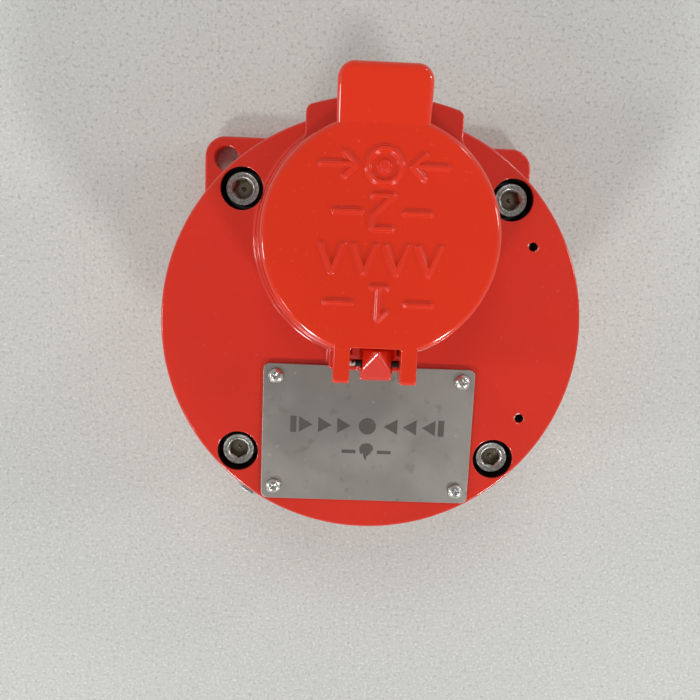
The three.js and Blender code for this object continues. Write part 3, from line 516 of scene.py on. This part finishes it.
def pan_screw_field(x, y, z):
    """Small cross-recessed pan-head screw: its seat is at zero."""
    radius = length(x, y)
    dome = length(radius, z + 1.6) - 3.05
    head = both(both(both(radius - 2.4, dome, 0.35), z - 1.35, 0.25), -z, 0.12)
    shank = slab(radius - 1.25, z, -6.4, 0.5, 0.3, 0)
    slot_depth = 0.45 + 0.35 * radius
    arms = np.minimum(
        rectangle(x, y, (-1.25, 1.25), (-0.27, 0.27), 0.1),
        rectangle(x, y, (-0.27, 0.27), (-1.25, 1.25), 0.1),
    )
    recess = both(join(arms, radius - 0.5, 0.15), slot_depth - z)
    return cut(join(head, shank), recess, 0.06)


def pin_field(x, y, z):
    return both(length(y, z) - PIN_R, np.abs(x) - ARM_X[1] + 0.2, 0.35)


def button_field(x, y, z):
    """Dished button with a spring cup and a rod socket from below."""
    radius = length(x, y)
    button = slab(radius - BUTTON_R, z, BUTTON_Z[0], BUTTON_Z[1], 0.8, 2.6)
    dish = length(radius, z - BUTTON_Z[1] + 0.8 - DISH_R) - DISH_R
    button = cut(button, dish, 1.2)
    cup = both(both(radius - 11, z - 86.5), 6 - radius)
    button = cut(button, cup, 0.3)
    socket = both(radius - 3.3, z - 87.7)
    stem_end = both(radius - 8, z - 80.5)
    return cut(cut(button, stem_end), socket)


def bolt_field(x, y, z):
    """M5 hexagon bolt: its head stands on zero."""
    radius = length(x, y)
    head = both(hexagon(x, y, 8), np.abs(z - 1.75) - 1.75, 0.1)
    crown = (radius - 4.1) * math.sin(math.radians(30)) + (z - 3.5) * math.cos(math.radians(30))
    head = both(head, crown, 0.1)
    shank = slab(radius - 2.5, z, -11, 1, 0.5, 0)
    return join(head, shank, 0.25)


def washer_field(inner, outer, thick):
    def field(x, y, z):
        radius = length(x, y)
        return both(both(radius - outer, inner - radius), np.abs(z - thick / 2) - thick / 2, 0.15)
    return field


def spring_washer_field(inner, outer, thick):
    ring = washer_field(inner, outer, thick)

    def field(x, y, z):
        slit = both(np.abs(y * 0.8 + (z - thick / 2) * 0.6) - 0.3, -x)
        return cut(ring(x, y, z), slit, 0.08)
    return field


def helix(name, radius, section, pitch, turns, steps):
    """A closed ridge wound along +Z: section holds (outward, along) points of one cut."""
    count = round(turns * steps) + 1
    points = []
    for i in range(count):
        angle = 2 * math.pi * i / steps
        for out, along in section:
            r = radius + out
            points.append((r * math.cos(angle), r * math.sin(angle), along + pitch * i / steps))
    wide = len(section)
    faces = []
    for i in range(count - 1):
        for j in range(wide):
            a, b = i * wide + j, i * wide + (j + 1) % wide
            faces.append((a, b, b + wide, a + wide))
    faces.append(tuple(reversed(range(wide))))
    last = (count - 1) * wide
    faces.append(tuple(range(last, last + wide)))
    mesh = bpy.data.meshes.new(name)
    mesh.from_pydata([tuple(c * MM for c in p) for p in points], [], faces)
    mesh.update()
    return mesh


# ---------------------------------------------------------------------------------------------
# Materials

ENAMEL_SPECULAR = 0.75


class Finish:
    """A node material with real-scale texture in the object's own coordinates, in metres."""

    def __init__(self, name, colour, roughness, metallic=0.0, specular=0.5):
        self.material = bpy.data.materials.new(name)
        self.material.use_nodes = True
        self.tree = self.material.node_tree
        self.shader = self.tree.nodes["Principled BSDF"]
        self.shader.inputs["Base Color"].default_value = (*colour, 1)
        self.shader.inputs["Roughness"].default_value = roughness
        self.shader.inputs["Metallic"].default_value = metallic
        self.shader.inputs["Specular IOR Level"].default_value = specular
        self.place = self.node("ShaderNodeTexCoord").outputs["Object"]
        self.height = None

    def node(self, kind, **settings):
        made = self.tree.nodes.new(kind)
        for key, value in settings.items():
            setattr(made, key, value)
        return made

    def link(self, source, socket):
        self.tree.links.new(source, socket)

    def math(self, operation, a, b=0.0, c=0.0, clamp=False):
        made = self.node("ShaderNodeMath", operation=operation, use_clamp=clamp)
        for socket, value in zip(made.inputs, (a, b, c)):
            if isinstance(value, bpy.types.NodeSocket):
                self.link(value, socket)
            else:
                socket.default_value = value
        return made.outputs[0]

    def noise(self, scale, detail=3.0, stretch=(1, 1, 1), offset=(0, 0, 0)):
        """Noise from about 0.2 to 0.8 with that many features in a metre."""
        mapping = self.node("ShaderNodeMapping")
        mapping.inputs["Scale"].default_value = stretch
        mapping.inputs["Location"].default_value = offset
        self.link(self.place, mapping.inputs["Vector"])
        made = self.node("ShaderNodeTexNoise")
        made.inputs["Scale"].default_value = scale
        made.inputs["Detail"].default_value = detail
        self.link(mapping.outputs[0], made.inputs["Vector"])
        return made.outputs["Fac"]

    def ramp(self, value, low, high, out_low=0.0, out_high=1.0):
        made = self.node("ShaderNodeMapRange")
        made.interpolation_type = "SMOOTHSTEP"
        self.link(value, made.inputs["Value"])
        numbers = {"From Min": low, "From Max": high, "To Min": out_low, "To Max": out_high}
        for key, number in numbers.items():
            made.inputs[key].default_value = number
        return made.outputs["Result"]

    def near(self, x, y, reach, blur):
        """1 within reach millimetres of a line along Z, fading to 0 over blur millimetres."""
        dx = self.math("SUBTRACT", self.axis(0), x * MM)
        dy = self.math("SUBTRACT", self.axis(1), y * MM)
        squares = self.math("ADD", self.math("MULTIPLY", dx, dx), self.math("MULTIPLY", dy, dy))
        return self.ramp(self.math("SQRT", squares), (reach + blur) * MM, reach * MM)

    def axis(self, number):
        """One of the object's own coordinates, in metres."""
        parts = self.node("ShaderNodeSeparateXYZ")
        self.link(self.place, parts.inputs[0])
        return parts.outputs[number]

    def tint(self, mask, colour):
        """Paints a colour where the mask is 1."""
        mix = self.node("ShaderNodeMix", data_type="RGBA")
        base = self.shader.inputs["Base Color"]
        if base.is_linked:
            self.link(base.links[0].from_socket, mix.inputs["A"])
        else:
            mix.inputs["A"].default_value = base.default_value
        mix.inputs["B"].default_value = (*colour, 1)
        self.link(mask, mix.inputs["Factor"])
        self.link(mix.outputs["Result"], base)
        return self

    def shift(self, socket, mask, value):
        """Moves one number of the shader to a value where the mask is 1."""
        mix = self.node("ShaderNodeMix", data_type="FLOAT")
        target = self.shader.inputs[socket]
        if target.is_linked:
            self.link(target.links[0].from_socket, mix.inputs["A"])
        else:
            mix.inputs["A"].default_value = target.default_value
        mix.inputs["B"].default_value = value
        self.link(mask, mix.inputs["Factor"])
        self.link(mix.outputs["Result"], target)
        return self

    def bump(self, value, depth):
        """Adds relief of that many millimetres."""
        node = self.node("ShaderNodeBump")
        node.inputs["Strength"].default_value = 1.0
        node.inputs["Distance"].default_value = depth * MM
        self.link(value, node.inputs["Height"])
        if self.height is not None:
            self.link(self.height, node.inputs["Normal"])
        self.height = node.outputs["Normal"]
        self.link(self.height, self.shader.inputs["Normal"])
        return self


def red_enamel(name, colour, deep, gloss, offset=(0, 0, 0)):
    """Stoved enamel on a casting: slightly uneven colour and gloss, orange peel and fine dust."""
    f = Finish(name, colour, gloss, specular=ENAMEL_SPECULAR)
    f.tint(f.ramp(f.noise(22, 2, offset=offset), 0.35, 0.7), deep)
    f.shift("Roughness", f.ramp(f.noise(60, 4, offset=offset), 0.35, 0.75), gloss + 0.07)
    dust = f.ramp(f.noise(900, 2, offset=offset), 0.68, 0.78, 0, 0.1)
    f.tint(dust, (0.72, 0.42, 0.36))
    f.bump(f.noise(450, 2, offset=offset), 0.012)
    f.bump(f.noise(110, 2, offset=offset), 0.05)
    return f


def metal(name, colour, roughness, scratches=0.5, stretch=(1, 1, 1), blotch=0.25):
    """Bare or plated metal with fine scratches, uneven gloss and a little dirt."""
    f = Finish(name, colour, roughness, metallic=1.0)
    dull = tuple(c * 0.72 for c in colour)
    f.tint(f.ramp(f.noise(160, 4), 0.45, 0.75, 0, 1), dull)
    f.shift("Roughness", f.ramp(f.noise(240, 4), 0.4, 0.7), min(roughness + blotch, 0.9))
    f.bump(f.noise(2600, 3, stretch), 0.006 * scratches)
    f.bump(f.noise(900, 3), 0.008 * scratches)
    return f


def moulded(name, colour, roughness):
    f = Finish(name, colour, roughness)
    f.tint(f.ramp(f.noise(90, 3), 0.4, 0.7), tuple(min(1.0, c * 1.25 + 0.004) for c in colour))
    f.shift("Roughness", f.ramp(f.noise(400, 3), 0.4, 0.7), min(roughness + 0.15, 0.95))
    f.bump(f.noise(3000, 2), 0.01)
    return f


def cover_enamel():
    """The cover's enamel, chipped round the tapped holes, with painted shade near black inside the tapped
    holes and the counterbores.
    """
    f = red_enamel("enamel_cover", (0.70, 0.028, 0.011), (0.63, 0.024, 0.010), gloss=0.11)
    rough_edge = f.noise(650, 3)
    for x, y in TAPPED_HOLES:
        rim = f.near(x, y, TAPPED_R + 0.25, 0.35)
        chips = f.math("MULTIPLY", rim, f.ramp(rough_edge, 0.53, 0.58))
        f.tint(chips, (0.86, 0.72, 0.66))
        # Painted shade: near black inside each tapped hole, standing in for the shade down the hole.
        inside = f.near(x, y, TAPPED_R + 0.02, 0.12)
        f.tint(inside, (0.03, 0.02, 0.018))
    for x in (-SCREW, SCREW):
        for y in (-SCREW, SCREW):
            # Painted shade: near black on the counterbore walls below the cover's face, standing in for
            # the shade in the deep bores.
            below = f.ramp(f.axis(2), 77.75 * MM, 77.2 * MM)
            inside = f.math("MULTIPLY", f.near(x, y, COUNTERBORE_R + 0.6, 0.3), below)
            f.tint(inside, (0.018, 0.006, 0.006))
    return f


def screw_steel():
    """Plated socket screw: coarse tool marks on the head, and darker brown towards the bottom of the
    socket.
    """
    f = metal("screw_steel", (0.66, 0.65, 0.62), 0.3, scratches=3, blotch=0.2)
    f.tint(f.ramp(f.noise(1500, 2), 0.5, 0.6, 0, 0.75), (0.36, 0.35, 0.32))
    f.bump(f.noise(1300, 2), 0.05)
    # Darker brown towards the bottom of the socket.
    below = f.ramp(f.axis(2), 5.2 * MM, 3.6 * MM)
    inside = f.math("MULTIPLY", f.near(0, 0, 3.1, 0.1), below)
    f.tint(inside, (0.30, 0.26, 0.20))
    return f


def pin_steel():
    """Pin painted near black as shade, with a painted highlight next to one arm."""
    # Painted shade: the pin's near-black colour stands for the shade it sits in between the lug and the
    # arms.
    f = metal("pin_steel", (0.045, 0.04, 0.038), 0.35)
    # Painted highlight: a bright patch on the pin next to one arm.
    painted_highlight = f.math("MULTIPLY", f.near(6.3, 0, 0.7, 0.5), f.ramp(f.noise(900, 2), 0.35, 0.45))
    f.tint(painted_highlight, (0.86, 0.85, 0.82))
    return f


def plate_steel():
    """Brushed sheet with long grain, hand smudges and darker blotches."""
    f = Finish("nameplate_sheet", (0.58, 0.545, 0.50), 0.38, metallic=1.0)
    f.tint(f.ramp(f.noise(28, 4), 0.38, 0.66), (0.50, 0.465, 0.425))
    f.tint(f.ramp(f.noise(240, 5, offset=(3, 1, 0)), 0.58, 0.72, 0, 0.6), (0.38, 0.345, 0.31))
    f.tint(f.ramp(f.noise(700, 3, offset=(2, 7, 1)), 0.70, 0.75, 0, 0.5), (0.80, 0.77, 0.73))
    f.shift("Roughness", f.ramp(f.noise(45, 4, offset=(1, 5, 2)), 0.4, 0.65), 0.45)
    grain = f.noise(90, 4, stretch=(1, 26, 1))
    f.tint(f.ramp(grain, 0.5, 0.75, 0, 0.35), (0.55, 0.52, 0.48))
    f.bump(grain, 0.01)
    f.bump(f.noise(60, 2), 0.05)
    f.bump(f.noise(1200, 3), 0.006)
    return f


def floor_stone():
    """Pale, finely speckled floor, with painted shade darkening it towards +Y."""
    f = Finish("pale_floor", (0.67, 0.68, 0.64), 0.5, specular=0.3)
    # Painted shade: darker towards +Y, evening out the light from the lamps on that side.
    f.tint(f.ramp(f.axis(1), -0.13, 0.13), (0.60, 0.61, 0.575))
    f.tint(f.ramp(f.noise(9, 2), 0.3, 0.7, 0, 0.3), (0.57, 0.58, 0.542))
    f.tint(f.ramp(f.noise(900, 2), 0.50, 0.72, 0, 0.9), (0.76, 0.77, 0.73))
    f.tint(f.ramp(f.noise(700, 2, offset=(4, 2, 1)), 0.52, 0.72, 0, 0.8), (0.46, 0.47, 0.437))
    f.bump(f.noise(500, 2), 0.06)
    return f


ENAMEL_COVER = cover_enamel().material
ENAMEL_BODY = red_enamel("enamel_body", (0.68, 0.026, 0.011), (0.61, 0.022, 0.009),
                         gloss=0.14, offset=(1, 2, 3)).material
ENAMEL_FLAP = red_enamel("enamel_flap", (0.76, 0.028, 0.003), (0.71, 0.026, 0.003),
                         gloss=0.09, offset=(5, 1, 2)).material
PLATE_STEEL = plate_steel().material
MARK_FILL = moulded("mark_fill", (0.085, 0.078, 0.07), 0.5).material
STAINLESS = metal("stainless", (0.66, 0.65, 0.62), 0.27, blotch=0.15).material
PIN_STEEL = pin_steel().material
SCREW_STEEL = screw_steel().material
ZINC = metal("zinc_plate", (0.62, 0.62, 0.60), 0.24).material
SPRING_STEEL = metal("spring_steel", (0.42, 0.42, 0.42), 0.3).material
BRASS = metal("brass", (0.70, 0.48, 0.20), 0.28).material
BUTTON_RED = moulded("button_red", (0.55, 0.02, 0.014), 0.3).material
BLACK_PLASTIC = moulded("black_plastic", (0.02, 0.02, 0.021), 0.45).material
IVORY_PLASTIC = moulded("ivory_plastic", (0.72, 0.66, 0.52), 0.45).material
RUBBER = moulded("rubber", (0.018, 0.018, 0.018), 0.7).material

# ---------------------------------------------------------------------------------------------
# The casting, the cover and the flap

body_mesh = sculpted("rear_body_cast", body_field, (-65, -71, 0), (65, 65, 62), 0.5, 90000)
piece("rear_body_cast", body_mesh, ENAMEL_BODY, "housing", ["rear_body"])

cover_mesh = sculpted("front_cover_cast", cover_field, (-65, -66, 52), (65, 65, 100), 0.4, 95000)
piece("front_cover_cast", cover_mesh, ENAMEL_COVER, "housing", ["front_cover"])

flap_mesh = sculpted("flap_cast", flap_field, (-34, -73, 90), (34, 14, 106), 0.22, 95000)
piece("flap_cast", flap_mesh, ENAMEL_FLAP, "flap", ["flap"])

thread_section = ((0.2, -0.62), (-0.62, 0), (0.2, 0.62))
thread = helix("cable_entry_thread", HUB_BORE_R, thread_section, THREAD_PITCH, THREAD_TURNS, 64)
piece("cable_entry_thread", thread, ENAMEL_BODY, "housing",
      place=(0, -HUB_END + THREAD_START, HUB_Z), turn=(-math.pi / 2, 0, 0))

# ---------------------------------------------------------------------------------------------
# Nameplate with its filled marks and screws

plate_mesh = sculpted("nameplate_sheet", plate_field, (-33, -21.9, 78.2), (33, 21.9, 79.2), 0.2, 9000)
piece("nameplate_sheet", plate_mesh, PLATE_STEEL, "housing", ["nameplate"],
      place=(0, PLATE_Y, 0))


def disc_outline(x, y, radius, count=24):
    turns = [2 * math.pi * i / count for i in range(count)]
    return [(x + radius * math.cos(t), y + radius * math.sin(t)) for t in turns]


def bar(x, y, half_x, half_y):
    return [(x - half_x, y - half_y), (x + half_x, y - half_y),
            (x + half_x, y + half_y), (x - half_x, y + half_y)]


def arrowhead(x, y, half, way):
    return [(x - way * half * 0.8, y - half), (x + way * half * 0.9, y), (x - way * half * 0.8, y + half)]


UPPER_MARKS_Y = 39.3
LOWER_MARKS_Y = 30.9
FLAME = [(0, -2.85), (1.5, -2.5), (2.25, -1.3), (2.1, 0), (1.5, 1.0), (1.25, 0.2), (0.9, 0.9),
         (0.75, 2.0), (-0.1, 2.85), (-0.05, 1.6), (-0.75, 0.9), (-1.5, 0.1), (-2.1, -0.9),
         (-1.9, -2.0), (-1.1, -2.7)]


def plate_marks():
    """Outlines of the filled marks: flame between two bars, then arrows towards a dot."""
    upper, lower = UPPER_MARKS_Y - PLATE_Y, LOWER_MARKS_Y - PLATE_Y
    outlines = [[(x, y + upper) for x, y in FLAME]]
    outlines += [bar(x, upper, 2.2, 0.55) for x in (-5.6, 5.6)]
    outlines.append(disc_outline(0, lower, 2.7))
    for side in (-1, 1):
        for x in (7.5, 13.5, 19.5):
            outlines.append(arrowhead(side * x, lower, 2.5, -side))
        outlines.append(bar(side * 23.3, lower, 0.95, 2.6))
    return outlines


def flat_prisms(name, outlines, low, high):
    """Each outline as a closed prism."""
    points, faces = [], []
    for outline in outlines:
        area = sum(a[0] * b[1] - b[0] * a[1] for a, b in zip(outline, outline[1:] + outline[:1]))
        outline = outline if area > 0 else outline[::-1]
        first, count = len(points), len(outline)
        points += [(x, y, low) for x, y in outline] + [(x, y, high) for x, y in outline]
        faces.append(tuple(first + i for i in reversed(range(count))))
        faces.append(tuple(first + count + i for i in range(count)))
        for i in range(count):
            j = (i + 1) % count
            faces.append((first + i, first + j, first + count + j, first + count + i))
    mesh = bpy.data.meshes.new(name)
    mesh.from_pydata([tuple(c * MM for c in p) for p in points], [], faces)
    mesh.update()
    return mesh


piece("nameplate_marks", flat_prisms("nameplate_marks", plate_marks(), 79.1, 79.23), MARK_FILL,
      "housing", place=(0, PLATE_Y, 0))

pan_mesh = sculpted("pan_screw", pan_screw_field, (-2.5, -2.5, -6.5), (2.5, 2.5, 1.5), 0.07, 9000)
for number, (x, y) in enumerate(PLATE_SCREWS, 1):
    piece(f"nameplate_pan_screw_{number}", pan_mesh, STAINLESS, "housing",
          [f"nameplate_screw_{number}"], (x, y, 79.4), (0, 0, 0.5 + 1.1 * number))

# ---------------------------------------------------------------------------------------------
# Cover screws, hinge pin, button and earth bolt

cap_mesh = sculpted("cap_screw", cap_screw_field, (-5.1, -5.1, -18.6), (5.1, 5.1, 6.1), 0.12, 26000)
corners = ((-1, -1), (1, -1), (1, 1), (-1, 1))
for number, (i, j) in enumerate(corners, 1):
    piece(f"cover_cap_screw_{number}", cap_mesh, SCREW_STEEL, "housing",
          [f"cover_screw_{number}"], (i * SCREW, j * SCREW, SCREW_SEAT), (0, 0, 0.35 * number))

pin_mesh = sculpted("hinge_pin_turned", pin_field, (-11.6, -1.1, -1.1), (11.6, 1.1, 1.1), 0.1, 5000)
piece("hinge_pin_turned", pin_mesh, PIN_STEEL, "housing", ["hinge_pin"], (0, PIN_Y, PIN_Z))

button_mesh = sculpted("push_button_moulded", button_field, (-20, -20, 80), (20, 20, 90), 0.25, 26000)
piece("push_button_moulded", button_mesh, BUTTON_RED, "button",
      ["push_button"], (0, BOSS_Y, 0))

EARTH_TURN = (0, math.pi / 2, EARTH_ANGLE)


def on_earth_axis(distance):
    return (distance * math.cos(EARTH_ANGLE), distance * math.sin(EARTH_ANGLE), EARTH_Z)


bolt_mesh = sculpted("earth_bolt_hex", bolt_field, (-4.7, -4.7, -11.1), (4.7, 4.7, 3.6), 0.12, 12000)
piece("earth_bolt_hex", bolt_mesh, ZINC, "housing", ["earth_bolt"],
      on_earth_axis(70), EARTH_TURN)
flat_washer = sculpted("earth_washer_flat", washer_field(2.75, 5, 1), (-5, -5, 0), (5, 5, 1), 0.1, 6000)
piece("earth_washer_flat", flat_washer, ZINC, "housing", ["earth_plain_washer"],
      on_earth_axis(67), EARTH_TURN)
split_washer = sculpted("earth_washer_split", spring_washer_field(2.75, 4.6, 1.4),
                        (-4.6, -4.6, 0), (4.6, 4.6, 1.4), 0.1, 7000)
piece("earth_washer_split", split_washer, SPRING_STEEL, "housing", ["earth_spring_washer"],
      on_earth_axis(68.3), EARTH_TURN)

# ---------------------------------------------------------------------------------------------
# Springs on the boss axis


def coil_spring(name, node, radius, wire, turns, bottom, top):
    """A spring on the boss axis, wound from its bottom height to its top height."""
    cut_of_wire = [(wire * math.cos(t), -wire * math.sin(t)) for t in np.arange(12) * math.pi / 6]
    pitch = (top - bottom - 2 * wire) / turns
    mesh = helix(name, radius, cut_of_wire, pitch, turns, 32)
    mesh.polygons.foreach_set("use_smooth", np.ones(len(mesh.polygons), bool))
    spring = piece(name, mesh, SPRING_STEEL, "housing", [node],
                   (0, BOSS_Y, bottom + wire))
    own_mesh(spring)


coil_spring("return_spring_coil", "return_spring", 8.5, 0.6, 4.5, 74.3, 86.2)
coil_spring("contact_spring_coil", "contact_spring", 2.9, 0.4, 5, 24.3, 34.3)

# ---------------------------------------------------------------------------------------------
# CAD pieces that stay: softened edges and finishes

KEPT = {
    SPRING_STEEL: ["cover_washer_1", "cover_washer_2", "cover_washer_3", "cover_washer_4", "rod_circlip"],
    STAINLESS: ["actuator_rod"],
    ZINC: ["terminal_screw_left", "terminal_screw_right", "contact_block_screw_1",
           "contact_block_screw_2", "mounting_plate", "mounting_plate_screw_1",
           "mounting_plate_screw_2", "mounting_plate_screw_3", "mounting_plate_screw_4"],
    BRASS: ["actuator_bush", "contact_bridge", "fixed_contact_left", "fixed_contact_right",
            "internal_earth_screw", "internal_earth_washer"],
    BLACK_PLASTIC: ["contact_block_housing"],
    IVORY_PLASTIC: ["contact_carrier"],
    RUBBER: ["cover_gasket"],
}
ROUND_NODES = ("cover_gasket",)
EDGE_WIDTH = 0.12
for material, names in KEPT.items():
    for name in names:
        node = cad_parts[name]
        node.data.materials.clear()
        node.data.materials.append(material)
        if name in ROUND_NODES:
            smooth = node.modifiers.new("smooth", "SUBSURF")
            smooth.levels = smooth.render_levels = 1
        else:
            edge = node.modifiers.new("edge", "BEVEL")
            edge.width, edge.segments, edge.limit_method = EDGE_WIDTH * MM, 2, "ANGLE"
            edge.angle_limit = math.radians(35)

# ---------------------------------------------------------------------------------------------
# Floor, light and camera

FLOOR_HALF = 3.0
floor_mesh = bpy.data.meshes.new("floor")
floor_mesh.from_pydata(
    [(-FLOOR_HALF, -FLOOR_HALF, 0), (FLOOR_HALF, -FLOOR_HALF, 0),
     (FLOOR_HALF, FLOOR_HALF, 0), (-FLOOR_HALF, FLOOR_HALF, 0)], [], [(0, 1, 2, 3)])
floor_mesh.materials.append(floor_stone().material)
floor = bpy.data.objects.new("floor", floor_mesh)
bpy.context.scene.collection.objects.link(floor)


LAMP_TARGET = Vector((0, 0, 0.08))


def soft_light(name, azimuth, elevation, distance, size, power):
    """A square lamp that faces the object. Azimuth is from +X towards +Y."""
    data = bpy.data.lights.new(name, "AREA")
    data.shape, data.size, data.energy = "SQUARE", size, power
    a, e = math.radians(azimuth), math.radians(elevation)
    towards = Vector((math.cos(e) * math.cos(a), math.cos(e) * math.sin(a), math.sin(e)))
    lamp = bpy.data.objects.new(name, data)
    bpy.context.scene.collection.objects.link(lamp)
    facing = towards.to_track_quat("Z", "Y").to_matrix().to_4x4()
    lamp.matrix_world = Matrix.Translation(towards * distance + LAMP_TARGET) @ facing
    return lamp


soft_light("key_left", 58, 32, 4.0, 0.5, 49)
soft_light("key_right", 128, 32, 4.0, 0.5, 51)
soft_light("right", 192, 24, 4.0, 0.5, 20)
soft_light("left", 8, 24, 4.0, 0.5, 20)
# Lights the shadow side, without a bright line along the tab's far edge
soft_light("back", 280, 50, 4.0, 1.2, 30).visible_glossy = False
soft_light("glint_left", 40, 46, 3.0, 0.2, 3)
soft_light("glint_right", 225, 30, 3.0, 0.2, 5)

WORLD_LOW, WORLD_HIGH = 0.62, 0.2  # brightness at the horizon and overhead
world = bpy.data.worlds.new("room")
bpy.context.scene.world = world
world.use_nodes = True
sky = world.node_tree
direction = sky.nodes.new("ShaderNodeTexCoord").outputs["Generated"]
parts = sky.nodes.new("ShaderNodeSeparateXYZ")
sky.links.new(direction, parts.inputs[0])
fade = sky.nodes.new("ShaderNodeMapRange")
fade.inputs["To Min"].default_value, fade.inputs["To Max"].default_value = WORLD_LOW, WORLD_HIGH
sky.links.new(parts.outputs[2], fade.inputs["Value"])
sky.links.new(fade.outputs["Result"], sky.nodes["Background"].inputs["Strength"])
sky.nodes["Background"].inputs["Color"].default_value = (1.0, 1.0, 0.98, 1)
bpy.context.scene.view_settings.view_transform = "Standard"

# The camera stands above the part, nearly square to the cover, with the nameplate towards it.
CAMERA_AT = (12.7, -28.4, 292.7)
TILT_X, TILT_Y, TILT_Z = (math.radians(a) for a in (9.35, 1.65, -2.13))
tilt = Matrix.Rotation(TILT_Z, 3, "Z") @ Matrix.Rotation(TILT_Y, 3, "Y") @ Matrix.Rotation(TILT_X, 3, "X")
to_camera = tilt @ Matrix.Diagonal((-1, -1, 1))
camera_data = bpy.data.cameras.new("camera")
camera_data.sensor_width = 36
camera_data.lens = 36
camera = bpy.data.objects.new("camera", camera_data)
bpy.context.scene.collection.objects.link(camera)
camera_place = Matrix.Translation(Vector(CAMERA_AT) * MM)
camera.matrix_world = camera_place @ to_camera.transposed().to_4x4()
bpy.context.scene.camera = camera
